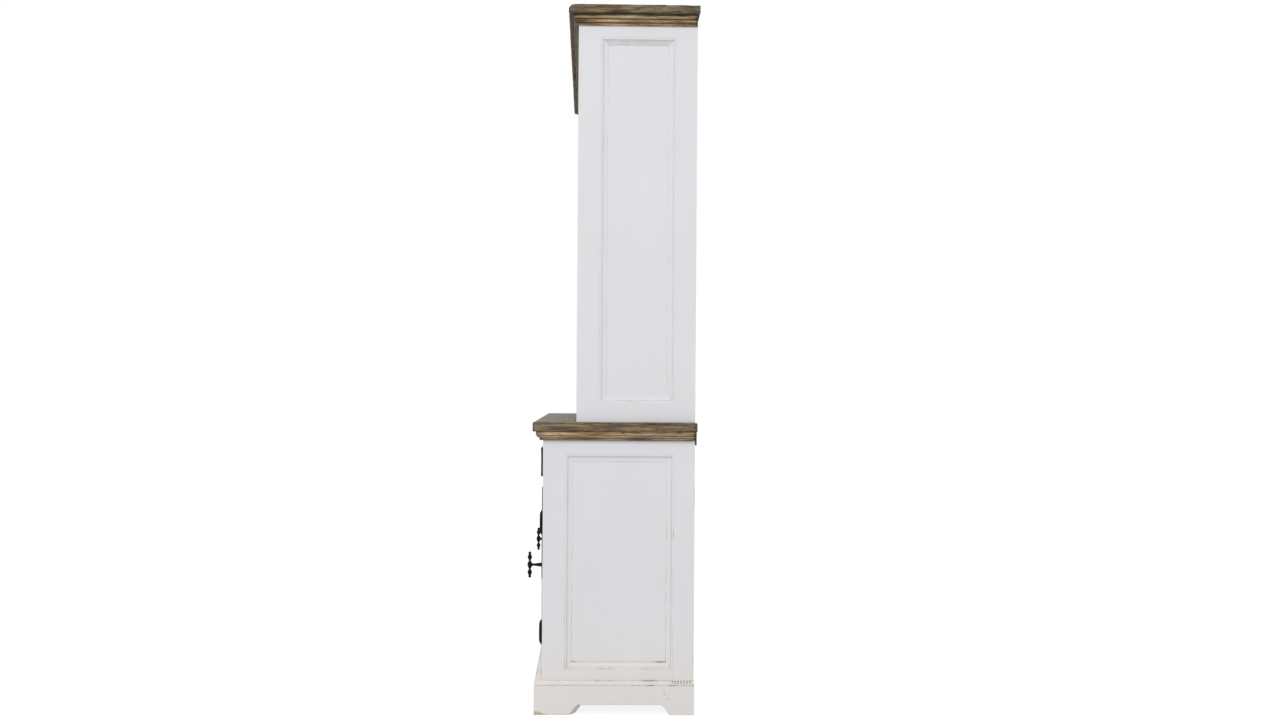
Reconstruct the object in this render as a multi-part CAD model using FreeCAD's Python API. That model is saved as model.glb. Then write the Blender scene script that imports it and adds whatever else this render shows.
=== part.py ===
import FreeCAD, Part
import math
import os

# A tall painted cabinet in two parts. The base has three drawers over two doors and an open bay,
# on a bracket plinth. The open hutch stands on its counter and carries a crown.
# X runs across the width, Y from the front (minus) to the back, Z up from the floor. Millimetres.
# The origin is on the floor, under the middle of the whole outline.

V = FreeCAD.Vector
ORIGIN = V(0, 0, 0)
RIGHT = V(1, 0, 0)
LEFT = V(-1, 0, 0)
FRONT = V(0, -1, 0)
BACK = V(0, 1, 0)
UP = V(0, 0, 1)
DOWN = V(0, 0, -1)

# The two cases
case_width = 1464.0
base_depth = 470.0
hutch_depth = 368.0
counter_height = 900.0
hutch_height = 1259.0
frame_thickness = 22.0
board_thickness = 20.0
back_thickness = 12.0
plank_count = 10
plank_gap = 0.6
overrun = 5.0

# Counter and crown boards, with the mouldings under them
counter_thickness = 29.0
counter_front_overhang = 32.0
counter_side_overhang = 30.0
counter_back_overhang = 6.0
counter_moulding_height = 27.0
counter_moulding_reach = 22.0
crown_thickness = 27.0
crown_front_overhang = 31.0
crown_side_overhang = 30.0
crown_back_overhang = 7.0
crown_moulding_height = 33.0
crown_moulding_reach = 16.0
board_edge_round = 4.0
batten_height = 41.0
batten_thickness = 5.5
batten_inset = 3.0

# Frame-and-panel sides
panel_thickness = 10.0
panel_setback = 9.0
panel_tongue = 8.0
panel_play = 0.3
side_stile_front = 70.0
side_stile_back = 65.0
base_side_foot = 40.0
base_side_rail_top = 71.0
base_side_rail_bottom = 97.0
hutch_side_rail_top = 68.0
hutch_side_rail_bottom = 62.0
side_moulding_width = 22.0
side_moulding_height = 8.0

# Face frame of the base
face_stile_width = 28.0
centre_stile_width = 45.0
side_bay_width = 329.0
top_rail_width = 51.0
drawer_opening_height = 94.0
middle_rail_width = 29.0
bottom_rail_show = 41.0
bottom_rail_hidden = 30.0
front_gap = 2.0

# Doors, with their hinges and pulls
door_gap_at_hinge = 3.0
door_thickness = 22.0
door_proud = 4.5
door_stile_width = 57.0
door_rail_width = 58.0
door_moulding_width = 18.0
door_moulding_height = 8.0
hinge_from_middle = 171.0
hinge_below_middle = 7.0
hinge_length = 76.0
hinge_barrel_radius = 6.5
hinge_end_radius = 4.0
hinge_tip_radius = 3.0
hinge_tip_length = 6.0
hinge_gap = 0.4
hinge_pin_radius = 3.0
hinge_pin_length = 20.0
hinge_pin_play = 0.05
hinge_leaf_thickness = 2.4
hinge_leaf_depth = 19.0
hinge_leaf_inset = 5.0
hinge_notch_play = 0.6
pull_below_middle = 7.0
pull_height = 88.0
pull_reach = 49.5
pull_knob_radius = 8.0
pull_bead_radius = 6.3
pull_bead_place = 25.5
pull_tip_radius = 4.2
pull_neck_radius = 3.1
pull_rose_radius = 7.5
pull_rose_thickness = 1.8
pull_waist_radius = 2.9
pull_waist_place = 35.5
pull_collar_radius = 5.4
pull_collar_length = 3.0
stop_width = 40.0
stop_depth = 18.0
stop_drop = 26.0
stop_from_edge = 30.0
stop_play = 0.3

# Drawers and what they run on
drawer_front_thickness = 22.0
drawer_front_proud = 8.5
drawer_border_width = 13.0
drawer_field_depth = 2.5
drawer_field_slope = 3.0
scoop_width = 92.0
scoop_depth = 22.0
drawer_side_thickness = 12.0
drawer_side_height = 66.0
drawer_side_inset = 3.0
drawer_back_clearance = 41.0
drawer_bottom_thickness = 6.0
drawer_bottom_rise = 8.0
drawer_run_play = 0.3
guide_play = 0.5
guide_height = 20.0
stretcher_thickness = 18.0
stretcher_width = 80.0

# Shelves
cupboard_shelf_height = 410.0
centre_shelf_height = 410.0
base_shelf_thickness = 18.0
base_shelf_setback = 30.0
hutch_shelf_thickness = 22.0
hutch_bay_heights = {"low": 315.0, "middle": 268.0, "high": 268.0}
shelf_end_play = 0.5
plate_groove_width = 8.0
plate_groove_depth = 3.0
plate_groove_from_back = 45.0
cleat_height = 20.0
cleat_width = 18.0
cleat_end_setback = 12.0

# Hutch front, top and fixings
hutch_stile_width = 28.0
header_height = 120.0
header_arch_rise = 34.0
header_arch_inset = 60.0
bracket_leg = 32.0
bracket_width = 24.0
bracket_thickness = 3.0
bracket_from_middle = 520.0

# Plinth
plinth_height = 90.0
plinth_thickness = 23.0
plinth_cap_height = 12.0
cutout_height = 31.0
cutout_run = 29.0
front_foot = 106.0
back_foot = 73.0
front_corner_foot = 150.0
plinth_back_rise = 35.0

# Outlines as shares of their own reach and height. One point is a straight leg to it,
# two points are an arc through the first to the second. Each outline starts at (0, 0) on the
# corner where the strip meets the case, with reach first and height second.
counter_moulding_shares = [
    [(0.44, 0.0)],
    [(0.50, 0.05)],
    [(0.50, 0.27)],
    [(0.58, 0.31)],
    [(0.80, 0.40), (0.92, 0.58)],
    [(1.0, 0.64)],
    [(1.0, 1.0)],
    [(0.0, 1.0)],
]
crown_moulding_shares = [
    [(0.26, 0.0)],
    [(0.42, 0.11), (0.30, 0.24)],
    [(0.30, 0.29)],
    [(0.48, 0.32)],
    [(0.64, 0.45), (0.52, 0.58)],
    [(0.52, 0.62)],
    [(0.84, 0.66)],
    [(1.0, 0.80), (0.86, 0.93)],
    [(0.86, 1.0)],
    [(0.0, 1.0)],
]
plinth_cap_shares = [
    [(1.0, 0.0)],
    [(1.0, 0.16)],
    [(0.60, 0.42), (0.22, 1.0)],
    [(0.0, 1.0)],
]
panel_moulding_shares = [
    [(1.0, 0.0)],
    [(0.97, 0.20), (0.84, 0.22)],
    [(0.50, 0.34), (0.38, 0.66)],
    [(0.34, 0.70)],
    [(0.30, 0.96), (0.12, 1.0)],
    [(0.0, 1.0)],
]
cutout_bend_share = 0.5
cutout_bulge_share = 0.16
olive_height_shares = [0.25, 0.5, 0.75, 0.9]
waist_bend_share = 0.55
waist_radius_share = 0.30

# Places worked out from the sizes above
half_width = case_width / 2
inner_half = half_width - frame_thickness
pull_front = door_proud + pull_reach + pull_knob_radius
back_reach = max(counter_back_overhang, crown_back_overhang, batten_thickness)
overall_depth = pull_front + base_depth + back_reach
back_y = overall_depth / 2 - back_reach
base_front = back_y - base_depth
hutch_front = back_y - hutch_depth
base_inner_front = base_front + frame_thickness
hutch_inner_front = hutch_front + frame_thickness
inner_back = back_y - back_thickness
base_top = counter_height - counter_thickness
hutch_top = counter_height + hutch_height
side_edge = inner_half - face_stile_width
bay_edge = side_edge - side_bay_width
centre_edge = bay_edge - centre_stile_width
partition_middle = (bay_edge + centre_edge) / 2
partition_outer = partition_middle + board_thickness / 2
partition_inner = partition_middle - board_thickness / 2
drawer_top = base_top - top_rail_width
drawer_bottom = drawer_top - drawer_opening_height
door_top = drawer_bottom - middle_rail_width
door_bottom = plinth_height + plinth_cap_height + bottom_rail_show
door_middle = (door_top + door_bottom) / 2
divider_bottom = drawer_bottom - board_thickness
plinth_out = half_width + plinth_thickness
plinth_front_y = base_front - plinth_thickness
drawer_front_y = base_front - drawer_front_proud
drawer_back_face = drawer_front_y + drawer_front_thickness
drawer_length = inner_back - drawer_back_clearance - drawer_back_face
door_front_y = base_front - door_proud
hinge_x = side_edge - door_gap_at_hinge / 2
hinge_middle = door_middle - hinge_below_middle
hinge_heights = [hinge_middle - hinge_from_middle, hinge_middle + hinge_from_middle]
hinge_notch_radius = hinge_barrel_radius + hinge_notch_play
hutch_shelf_heights = {}
level = counter_height
for name, bay_height in hutch_bay_heights.items():
    hutch_shelf_heights[name] = level + bay_height
    level += bay_height + hutch_shelf_thickness

nodes = {}


def block(x0, x1, y0, y1, z0, z1):
    """A board between two corners."""
    return Part.makeBox(x1 - x0, y1 - y0, z1 - z0, V(x0, y0, z0))


def mirrored(shapes):
    """The same pieces on the other side of the middle."""
    return [shape.mirror(ORIGIN, RIGHT) for shape in shapes]


def outline(start, legs, place):
    """A closed wire of straight legs and arcs, each point put in space by place()."""
    edges = []
    here = start
    for leg in legs + [[start]]:
        if leg[-1] == here:
            continue
        if len(leg) == 1:
            edges.append(Part.LineSegment(place(*here), place(*leg[0])).toShape())
        else:
            edges.append(Part.Arc(place(*here), place(*leg[0]), place(*leg[1])).toShape())
        here = leg[-1]
    return Part.Wire(edges)


def strip(shares, reach, height, start, along, outward, up, length, mitres):
    """A moulding along one side. mitres says how each end follows the reach: 1 grows, -1 shrinks."""
    def place(share_out, share_up):
        return start - along * reach + outward * (share_out * reach) + up * (share_up * height)

    bar = Part.Face(outline((0.0, 0.0), shares, place)).extrude(along * (length + 2 * reach))
    first, last = mitres
    corners = [
        start,
        start + along * length,
        start + along * (length + last * reach) + outward * reach,
        start - along * (first * reach) + outward * reach,
    ]
    plan = Part.Face(Part.makePolygon(corners + [start])).extrude(up * height)
    return bar.common(plan).Solids[0]


def wrapped_strips(shares, reach, height, front, bottom):
    """Three strips round the front and both ends of a case, mitred at its front corners."""
    depth = back_y - front
    front_strip = strip(shares, reach, height, V(-half_width, front, bottom), RIGHT, FRONT, UP,
                        case_width, (1, 1))
    right_strip = strip(shares, reach, height, V(half_width, front, bottom), BACK, RIGHT, UP,
                        depth, (1, 0))
    return [front_strip, right_strip] + mirrored([right_strip])


def edges_where(shape, test):
    """The edges whose two ends both pass a test."""
    return [edge for edge in shape.Edges if all(test(vertex.Point) for vertex in edge.Vertexes)]


def framed_panel(width, height, stiles, rails, thickness, moulding_width, moulding_height):
    """A frame of two stiles and two rails round a flat panel, with a mitred moulding on the panel.

    It stands on (0, 0, 0), faces -Y and has its front face at y = 0.
    """
    left, right = stiles
    low, high = rails
    panel = block(left - panel_tongue, width - right + panel_tongue,
                  panel_setback, panel_setback + panel_thickness,
                  low - panel_tongue, height - high + panel_tongue)
    slot = block(left - panel_tongue - panel_play, width - right + panel_tongue + panel_play,
                 panel_setback, panel_setback + panel_thickness,
                 low - panel_tongue - panel_play, height - high + panel_tongue + panel_play)
    boards = [
        block(0, left, 0, thickness, 0, height),
        block(width - right, width, 0, thickness, 0, height),
        block(left, width - right, 0, thickness, 0, low),
        block(left, width - right, 0, thickness, height - high, height),
    ]
    frame = [board.cut(slot) for board in boards]
    open_width = width - left - right
    open_height = height - low - high
    sides = [
        (V(left, panel_setback, low), RIGHT, UP, open_width),
        (V(width - right, panel_setback, low), UP, LEFT, open_height),
        (V(width - right, panel_setback, height - high), LEFT, DOWN, open_width),
        (V(left, panel_setback, height - high), DOWN, RIGHT, open_height),
    ]
    moulding = [strip(panel_moulding_shares, moulding_width, moulding_height, start, along, inward,
                      FRONT, length, (-1, -1)) for start, along, inward, length in sides]
    return frame, [panel], moulding


def as_right_side(shapes, front, bottom):
    """Turns a panel that faces -Y so that it faces +X, and puts it at the case's right end."""
    turned = []
    for shape in shapes:
        shape.rotate(ORIGIN, UP, 90)
        shape.translate(V(half_width, front, bottom))
        turned.append(shape)
    return turned


def add_pair(stem, right_pieces):
    """One node at each side, the left one mirrored."""
    nodes[stem + "_right"] = right_pieces
    nodes[stem + "_left"] = mirrored(right_pieces)


def make_sides():
    """The framed ends of the base and of the hutch."""
    cases = [
        ("base", base_front, base_side_foot, base_top,
         (base_side_rail_bottom, base_side_rail_top)),
        ("hutch", hutch_front, counter_height, hutch_top,
         (hutch_side_rail_bottom, hutch_side_rail_top)),
    ]
    for stem, front, bottom, top, rails in cases:
        groups = framed_panel(back_y - front, top - bottom, (side_stile_front, side_stile_back),
                              rails, frame_thickness, side_moulding_width, side_moulding_height)
        frame, panel, moulding = [as_right_side(group, front, bottom) for group in groups]
        add_pair(stem + "_side_frame", frame)
        add_pair(stem + "_side_panel", panel)
        nodes[stem + "_side_mouldings"] = moulding + mirrored(moulding)


def make_face_frame():
    """Stiles and rails round the drawers, the doors and the open bay."""
    notches = [Part.makeCylinder(hinge_notch_radius, hinge_length + 2 * hinge_notch_play,
                                 V(hinge_x, door_front_y, height - hinge_length / 2
                                   - hinge_notch_play)) for height in hinge_heights]
    low = door_bottom - bottom_rail_show - bottom_rail_hidden
    outer = block(side_edge, inner_half, base_front, base_inner_front, low, base_top)
    for notch in notches:
        outer = outer.cut(notch)
    inner = block(centre_edge, bay_edge, base_front, base_inner_front, low, base_top)
    nodes["base_face_stiles"] = [outer, inner] + mirrored([outer, inner])
    bays = [(bay_edge, side_edge), (-centre_edge, centre_edge), (-side_edge, -bay_edge)]
    heights = [(drawer_top, base_top), (door_top, drawer_bottom), (low, door_bottom)]
    nodes["base_face_rails"] = [block(x0, x1, base_front, base_inner_front, z0, z1)
                                for x0, x1 in bays for z0, z1 in heights]


def planks(bottom, top):
    """Upright boards that close a back, from side to side."""
    pitch = (2 * inner_half + plank_gap) / plank_count
    wall = []
    for number in range(plank_count):
        start = -inner_half + number * pitch
        wall.append(block(start, start + pitch - plank_gap, inner_back, back_y, bottom, top))
    return wall


def make_base_inside():
    """Floor, partitions, dividers, guides, shelves and back of the base."""
    nodes["base_floor"] = [block(-inner_half, inner_half, base_inner_front, inner_back,
                                 door_bottom - board_thickness, door_bottom)]
    nodes["base_back_boards"] = planks(base_side_foot, base_top)
    stretcher_bottom = base_top - stretcher_thickness
    add_pair("partition", [block(partition_inner, partition_outer, base_inner_front, inner_back,
                                 door_bottom, stretcher_bottom)])
    nodes["top_stretchers"] = [
        block(-inner_half, inner_half, base_inner_front, base_inner_front + stretcher_width,
              stretcher_bottom, base_top),
        block(-inner_half, inner_half, inner_back - stretcher_width, inner_back,
              stretcher_bottom, base_top),
    ]
    side_divider = block(partition_outer, inner_half, base_inner_front, inner_back,
                         divider_bottom, drawer_bottom)
    centre_divider = block(-partition_inner, partition_inner, base_inner_front, inner_back,
                           divider_bottom, drawer_bottom)
    nodes["drawer_dividers"] = [side_divider, centre_divider] + mirrored([side_divider])
    side_box = front_gap + drawer_side_inset - guide_play
    spans = [
        (partition_outer, bay_edge + side_box),
        (side_edge - side_box, inner_half),
        (centre_edge - side_box, partition_inner),
    ]
    guides = [block(x0, x1, base_inner_front, inner_back, drawer_bottom,
                    drawer_bottom + guide_height) for x0, x1 in spans]
    nodes["drawer_guides"] = guides + mirrored(guides)
    shelf_front = base_inner_front + base_shelf_setback
    add_pair("cupboard_shelf", [block(partition_outer + shelf_end_play,
                                      inner_half - shelf_end_play, shelf_front, inner_back,
                                      cupboard_shelf_height,
                                      cupboard_shelf_height + base_shelf_thickness)])
    nodes["centre_shelf"] = [block(-partition_inner + shelf_end_play,
                                   partition_inner - shelf_end_play, base_inner_front, inner_back,
                                   centre_shelf_height,
                                   centre_shelf_height + base_shelf_thickness)]
    stop_start = bay_edge + front_gap + stop_from_edge
    stop_front = door_front_y + door_thickness + stop_play
    stop = block(stop_start, stop_start + stop_width, stop_front, stop_front + stop_depth,
                 divider_bottom - stop_drop, divider_bottom)
    stop = stop.cut(block(stop_start, stop_start + stop_width, stop_front, base_inner_front,
                          door_top, divider_bottom))
    nodes["door_stops"] = [stop] + mirrored([stop])


def cleat(inner_face, direction, front, shelf_bottom):
    """A batten screwed to a wall under a shelf's end."""
    x0, x1 = sorted([inner_face, inner_face + direction * cleat_width])
    return block(x0, x1, front + cleat_end_setback, inner_back - cleat_end_setback,
                 shelf_bottom - cleat_height, shelf_bottom)


def make_cleats():
    """All the battens that carry shelves, in the base and in the hutch."""
    shelf_front = base_inner_front + base_shelf_setback
    right = [
        cleat(inner_half, -1, shelf_front, cupboard_shelf_height),
        cleat(partition_outer, 1, shelf_front, cupboard_shelf_height),
        cleat(partition_inner, -1, base_inner_front, centre_shelf_height),
    ]
    for height in hutch_shelf_heights.values():
        right.append(cleat(inner_half, -1, hutch_inner_front, height))
    nodes["shelf_cleats"] = right + mirrored(right)


def bracket_cutout(start, end, across, thickness_vector):
    """The curved opening between two feet, as a tool that cuts through a plinth board."""
    run = across * cutout_run
    rise = UP * cutout_height
    sag = UP * overrun
    corner = {}
    for name, foot, sign in [("first", start, 1), ("last", end, -1)]:
        top = foot + run * sign + rise
        bend = foot + run * (sign * cutout_bend_share) + rise * cutout_bend_share
        low_mid = (foot + bend) / 2 + run * (sign * cutout_bulge_share)
        high_mid = (bend + top) / 2 - run * (sign * cutout_bulge_share)
        corner[name] = (foot, low_mid, bend, high_mid, top)
    foot, low_mid, bend, high_mid, top = corner["first"]
    foot2, low_mid2, bend2, high_mid2, top2 = corner["last"]
    edges = [
        Part.LineSegment(foot - sag, foot).toShape(),
        Part.Arc(foot, low_mid, bend).toShape(),
        Part.Arc(bend, high_mid, top).toShape(),
        Part.LineSegment(top, top2).toShape(),
        Part.Arc(top2, high_mid2, bend2).toShape(),
        Part.Arc(bend2, low_mid2, foot2).toShape(),
        Part.LineSegment(foot2, foot2 - sag).toShape(),
        Part.LineSegment(foot2 - sag, foot - sag).toShape(),
    ]
    return Part.Face(Part.Wire(edges)).extrude(thickness_vector)


def make_plinth():
    """Bracket plinth: three mitred boards with curved cut-outs, a back board and a cap."""
    square = [[(1.0, 0.0)], [(1.0, 1.0)], [(0.0, 1.0)]]
    front, right, left = wrapped_strips(square, plinth_thickness, plinth_height, base_front, 0)
    through = plinth_thickness + 2 * overrun
    front_tool = bracket_cutout(V(-plinth_out + front_corner_foot, plinth_front_y - overrun, 0),
                                V(plinth_out - front_corner_foot, plinth_front_y - overrun, 0),
                                RIGHT, BACK * through)
    side_tool = bracket_cutout(V(half_width - overrun, plinth_front_y + front_foot, 0),
                               V(half_width - overrun, back_y - back_foot, 0),
                               BACK, RIGHT * through)
    nodes["plinth_front"] = [front.cut(front_tool)]
    add_pair("plinth", [right.cut(side_tool)])
    nodes["plinth_back"] = [block(-half_width + frame_thickness, half_width - frame_thickness,
                                  inner_back - board_thickness, inner_back,
                                  plinth_back_rise, door_bottom - board_thickness)]
    nodes["plinth_cap"] = wrapped_strips(plinth_cap_shares, plinth_thickness, plinth_cap_height,
                                         base_front, plinth_height)


def slab(front, front_overhang, side_overhang, back_overhang, bottom, thickness):
    """A thick top board with its upper edges rounded by wear."""
    y0 = front - front_overhang
    board = block(-half_width - side_overhang, half_width + side_overhang,
                  y0, back_y + back_overhang, bottom, bottom + thickness)
    top = bottom + thickness
    worn = edges_where(board, lambda point: abs(point.z - top) < overrun)
    worn += [edge for edge in edges_where(board, lambda point: abs(point.y - y0) < overrun)
             if abs(edge.Vertexes[0].Z - edge.Vertexes[-1].Z) > overrun]
    return board.makeFillet(board_edge_round, worn)


def make_tops():
    """Counter and crown, each a thick board over a mitred moulding."""
    nodes["counter_board"] = [slab(base_front, counter_front_overhang, counter_side_overhang,
                                   counter_back_overhang, base_top, counter_thickness)]
    nodes["counter_moulding"] = wrapped_strips(counter_moulding_shares, counter_moulding_reach,
                                               counter_moulding_height, base_front,
                                               base_top - counter_moulding_height)
    nodes["back_batten"] = [block(-half_width + batten_inset, half_width - batten_inset,
                                  back_y, back_y + batten_thickness,
                                  base_top - batten_height, base_top)]
    nodes["crown_board"] = [slab(hutch_front, crown_front_overhang, crown_side_overhang,
                                 crown_back_overhang, hutch_top, crown_thickness)]
    nodes["crown_moulding"] = wrapped_strips(crown_moulding_shares, crown_moulding_reach,
                                             crown_moulding_height, hutch_front,
                                             hutch_top - crown_moulding_height)


def make_hutch_inside():
    """Shelves, face stiles, arched header, top, back and fixings of the hutch."""
    opening_half = inner_half - hutch_stile_width
    stile = block(opening_half, inner_half, hutch_front, hutch_inner_front,
                  counter_height, hutch_top)
    nodes["hutch_face_stiles"] = [stile] + mirrored([stile])
    header = block(-opening_half, opening_half, hutch_front, hutch_inner_front,
                   hutch_top - header_height, hutch_top)
    header_bottom = hutch_top - header_height
    arch_half = opening_half - header_arch_inset
    arch_radius = (arch_half ** 2 + header_arch_rise ** 2) / (2 * header_arch_rise)
    arch = Part.makeCylinder(arch_radius, frame_thickness + 2 * overrun,
                             V(0, hutch_front - overrun,
                               header_bottom + header_arch_rise - arch_radius), BACK)
    nodes["hutch_header"] = [header.cut(arch)]
    nodes["hutch_top_board"] = [block(-inner_half, inner_half, hutch_inner_front, inner_back,
                                      hutch_top - board_thickness, hutch_top)]
    nodes["hutch_back_boards"] = planks(counter_height, hutch_top)
    for name, height in hutch_shelf_heights.items():
        shelf = block(-inner_half, inner_half, hutch_inner_front, inner_back,
                      height, height + hutch_shelf_thickness)
        groove_back = inner_back - plate_groove_from_back
        top = height + hutch_shelf_thickness
        groove = block(-inner_half, inner_half, groove_back - plate_groove_width, groove_back,
                       top - plate_groove_depth, top + overrun)
        nodes["hutch_shelf_" + name] = [shelf.cut(groove)]
    upright = block(bracket_from_middle, bracket_from_middle + bracket_width,
                    inner_back - bracket_thickness, inner_back,
                    counter_height, counter_height + bracket_leg)
    foot = block(bracket_from_middle, bracket_from_middle + bracket_width,
                 inner_back - bracket_leg, inner_back,
                 counter_height, counter_height + bracket_thickness)
    angle = upright.fuse(foot).removeSplitter().Solids[0]
    nodes["hutch_brackets"] = [angle] + mirrored([angle])


def turned(start, legs):
    """A turned shape: an outline of radius and height, spun round the Z axis."""
    wire = outline(start, legs, lambda radius, height: V(radius, 0, height))
    return Part.Face(wire).revolve(ORIGIN, UP, 360).Solids[0]


def hinge_half(with_pin):
    """The upper half of an olive hinge, standing on z = 0. With a pin it is the lower half."""
    half = hinge_length / 2
    tip_start = half - hinge_tip_length
    start_gap = hinge_gap / 2
    swell = hinge_barrel_radius - hinge_end_radius
    legs = [[(hinge_barrel_radius, start_gap)]]
    for share in olive_height_shares:
        legs.append([(hinge_end_radius + swell * math.sqrt(1 - share ** 2),
                      start_gap + (tip_start - start_gap) * share)])
    legs.append([(hinge_end_radius, tip_start)])
    legs.append([(hinge_tip_radius / 2, tip_start)])
    legs.append([(hinge_tip_radius, (tip_start + half) / 2)])
    legs.append([(hinge_tip_radius / 2, half)])
    legs.append([(0.0, half)])
    olive = turned((0.0, start_gap), legs)
    leaf_top = tip_start - hinge_leaf_inset
    side = -1 if not with_pin else 1
    edge = side * door_gap_at_hinge / 2
    x0, x1 = sorted([edge, edge - side * hinge_leaf_thickness])
    leaf = block(x0, x1, 0, hinge_leaf_depth, hinge_leaf_inset, leaf_top)
    bore = Part.makeCylinder(hinge_pin_radius + hinge_pin_play, hinge_pin_length + hinge_gap)
    body = olive.fuse(leaf)
    if not with_pin:
        return body.cut(bore).removeSplitter().Solids[0]
    body.rotate(ORIGIN, RIGHT, 180)
    body = body.mirror(ORIGIN, BACK)
    pin = Part.makeCylinder(hinge_pin_radius, hinge_pin_length + start_gap,
                            V(0, 0, -start_gap))
    return body.fuse(pin).removeSplitter().Solids[0]


def make_hinges():
    """Two olive hinges a door: the pin halves stay on the stile, the bored halves on the door."""
    fixed = []
    moving = []
    for height in hinge_heights:
        for with_pin, group in [(True, fixed), (False, moving)]:
            half = hinge_half(with_pin)
            half.translate(V(hinge_x, door_front_y, height))
            group.append(half)
    nodes["hinge_pin_halves"] = fixed + mirrored(fixed)
    add_pair_named("door_{}_hinge_halves", moving)


def add_pair_named(pattern, right_pieces):
    """Like add_pair, for names with the side in the middle."""
    nodes[pattern.format("right")] = right_pieces
    nodes[pattern.format("left")] = mirrored(right_pieces)


def door_pull():
    """A forged T-pull: a beaded upright bar on a flared stem. It stands off the face at y = 0."""
    half = pull_height / 2
    tip_place = half - pull_tip_radius
    tip_half = math.sqrt(pull_tip_radius ** 2 - pull_neck_radius ** 2)
    legs = [[(pull_tip_radius, -tip_place), (pull_neck_radius, tip_half - tip_place)]]
    beads = [(-pull_bead_place, pull_bead_radius), (0.0, pull_knob_radius),
             (pull_bead_place, pull_bead_radius)]
    for place, radius in beads:
        half_height = math.sqrt(radius ** 2 - pull_neck_radius ** 2)
        legs.append([(pull_neck_radius, place - half_height)])
        legs.append([(radius, place), (pull_neck_radius, place + half_height)])
    legs.append([(pull_neck_radius, tip_place - tip_half)])
    legs.append([(pull_tip_radius, tip_place), (0.0, half)])
    bar = turned((0.0, -half), legs)
    waist_back = pull_rose_thickness + (pull_waist_place - pull_rose_thickness) * waist_bend_share
    bend_radius = pull_waist_radius + (pull_rose_radius - pull_waist_radius) * waist_radius_share
    collar_end = pull_reach - pull_knob_radius / 2
    collar_start = collar_end - pull_collar_length - pull_knob_radius / 2
    stem = turned((0.0, 0.0), [
        [(pull_rose_radius, 0.0)],
        [(pull_rose_radius, pull_rose_thickness)],
        [(bend_radius, waist_back), (pull_waist_radius, pull_waist_place)],
        [(pull_collar_radius, collar_start)],
        [(pull_collar_radius, collar_start + pull_collar_length / 2)],
        [(pull_neck_radius, collar_end)],
        [(0.0, collar_end)],
    ])
    stem.rotate(ORIGIN, RIGHT, 90)
    bar.translate(FRONT * pull_reach)
    return bar.fuse(stem).Solids[0]


def make_doors():
    """Two inset doors, each hung at its outer edge, with a pull on its inner stile."""
    width = side_bay_width - front_gap - door_gap_at_hinge
    height = door_top - door_bottom - 2 * front_gap
    start = V(bay_edge + front_gap, door_front_y, door_bottom + front_gap)
    frame, panel, moulding = framed_panel(width, height, (door_stile_width, door_stile_width),
                                          (door_rail_width, door_rail_width), door_thickness,
                                          door_moulding_width, door_moulding_height)
    for shape in frame + panel + moulding:
        shape.translate(start)
    for hinge_height in hinge_heights:
        notch = Part.makeCylinder(hinge_notch_radius, hinge_length + 2 * hinge_notch_play,
                                  V(hinge_x, door_front_y,
                                    hinge_height - hinge_length / 2 - hinge_notch_play))
        frame[1] = frame[1].cut(notch)
    pull = door_pull()
    pull.translate(V(start.x + door_stile_width / 2, door_front_y,
                     door_middle - pull_below_middle))
    add_pair_named("door_{}_frame", frame)
    add_pair_named("door_{}_panel", panel)
    add_pair_named("door_{}_moulding", moulding)
    add_pair_named("door_{}_pull", [pull])


def drawer_front(x0, x1):
    """A drawer front with a raised border and a half-moon finger scoop in its top edge."""
    z0 = drawer_bottom + front_gap
    z1 = drawer_top - front_gap
    board = block(x0, x1, drawer_front_y, drawer_front_y + drawer_front_thickness, z0, z1)

    def ring(inset, depth):
        corners = [V(x0 + inset, depth, z0 + inset), V(x1 - inset, depth, z0 + inset),
                   V(x1 - inset, depth, z1 - inset), V(x0 + inset, depth, z1 - inset)]
        return Part.makePolygon(corners + [corners[0]])

    sink = Part.makeLoft([ring(drawer_border_width, drawer_front_y),
                          ring(drawer_border_width + drawer_field_slope,
                               drawer_front_y + drawer_field_depth)], True, True)
    half = scoop_width / 2
    radius = (half ** 2 + scoop_depth ** 2) / (2 * scoop_depth)
    scoop = Part.makeCylinder(radius, drawer_front_thickness + 2 * overrun,
                              V((x0 + x1) / 2, drawer_front_y - overrun,
                                z1 - scoop_depth + radius), BACK)
    return board.cut(sink).cut(scoop).Solids[0]


def drawer_box(x0, x1):
    """Two sides, a back and a bottom behind a drawer front."""
    left = x0 + drawer_side_inset
    right = x1 - drawer_side_inset
    front = drawer_back_face
    back = front + drawer_length
    low = drawer_bottom + drawer_run_play
    high = low + drawer_side_height
    floor = low + drawer_bottom_rise
    inner_left = left + drawer_side_thickness
    inner_right = right - drawer_side_thickness
    return [
        block(left, inner_left, front, back, low, high),
        block(inner_right, right, front, back, low, high),
        block(inner_left, inner_right, back - drawer_side_thickness, back, low, high),
        block(inner_left, inner_right, front, back - drawer_side_thickness,
              floor, floor + drawer_bottom_thickness),
    ]


def make_drawers():
    """Three drawers in one row under the counter."""
    spans = {
        "left": (-side_edge, -bay_edge),
        "centre": (-centre_edge, centre_edge),
        "right": (bay_edge, side_edge),
    }
    for name, (x0, x1) in spans.items():
        nodes["drawer_" + name + "_front"] = [drawer_front(x0 + front_gap, x1 - front_gap)]
        nodes["drawer_" + name + "_box"] = drawer_box(x0 + front_gap, x1 - front_gap)


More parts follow.
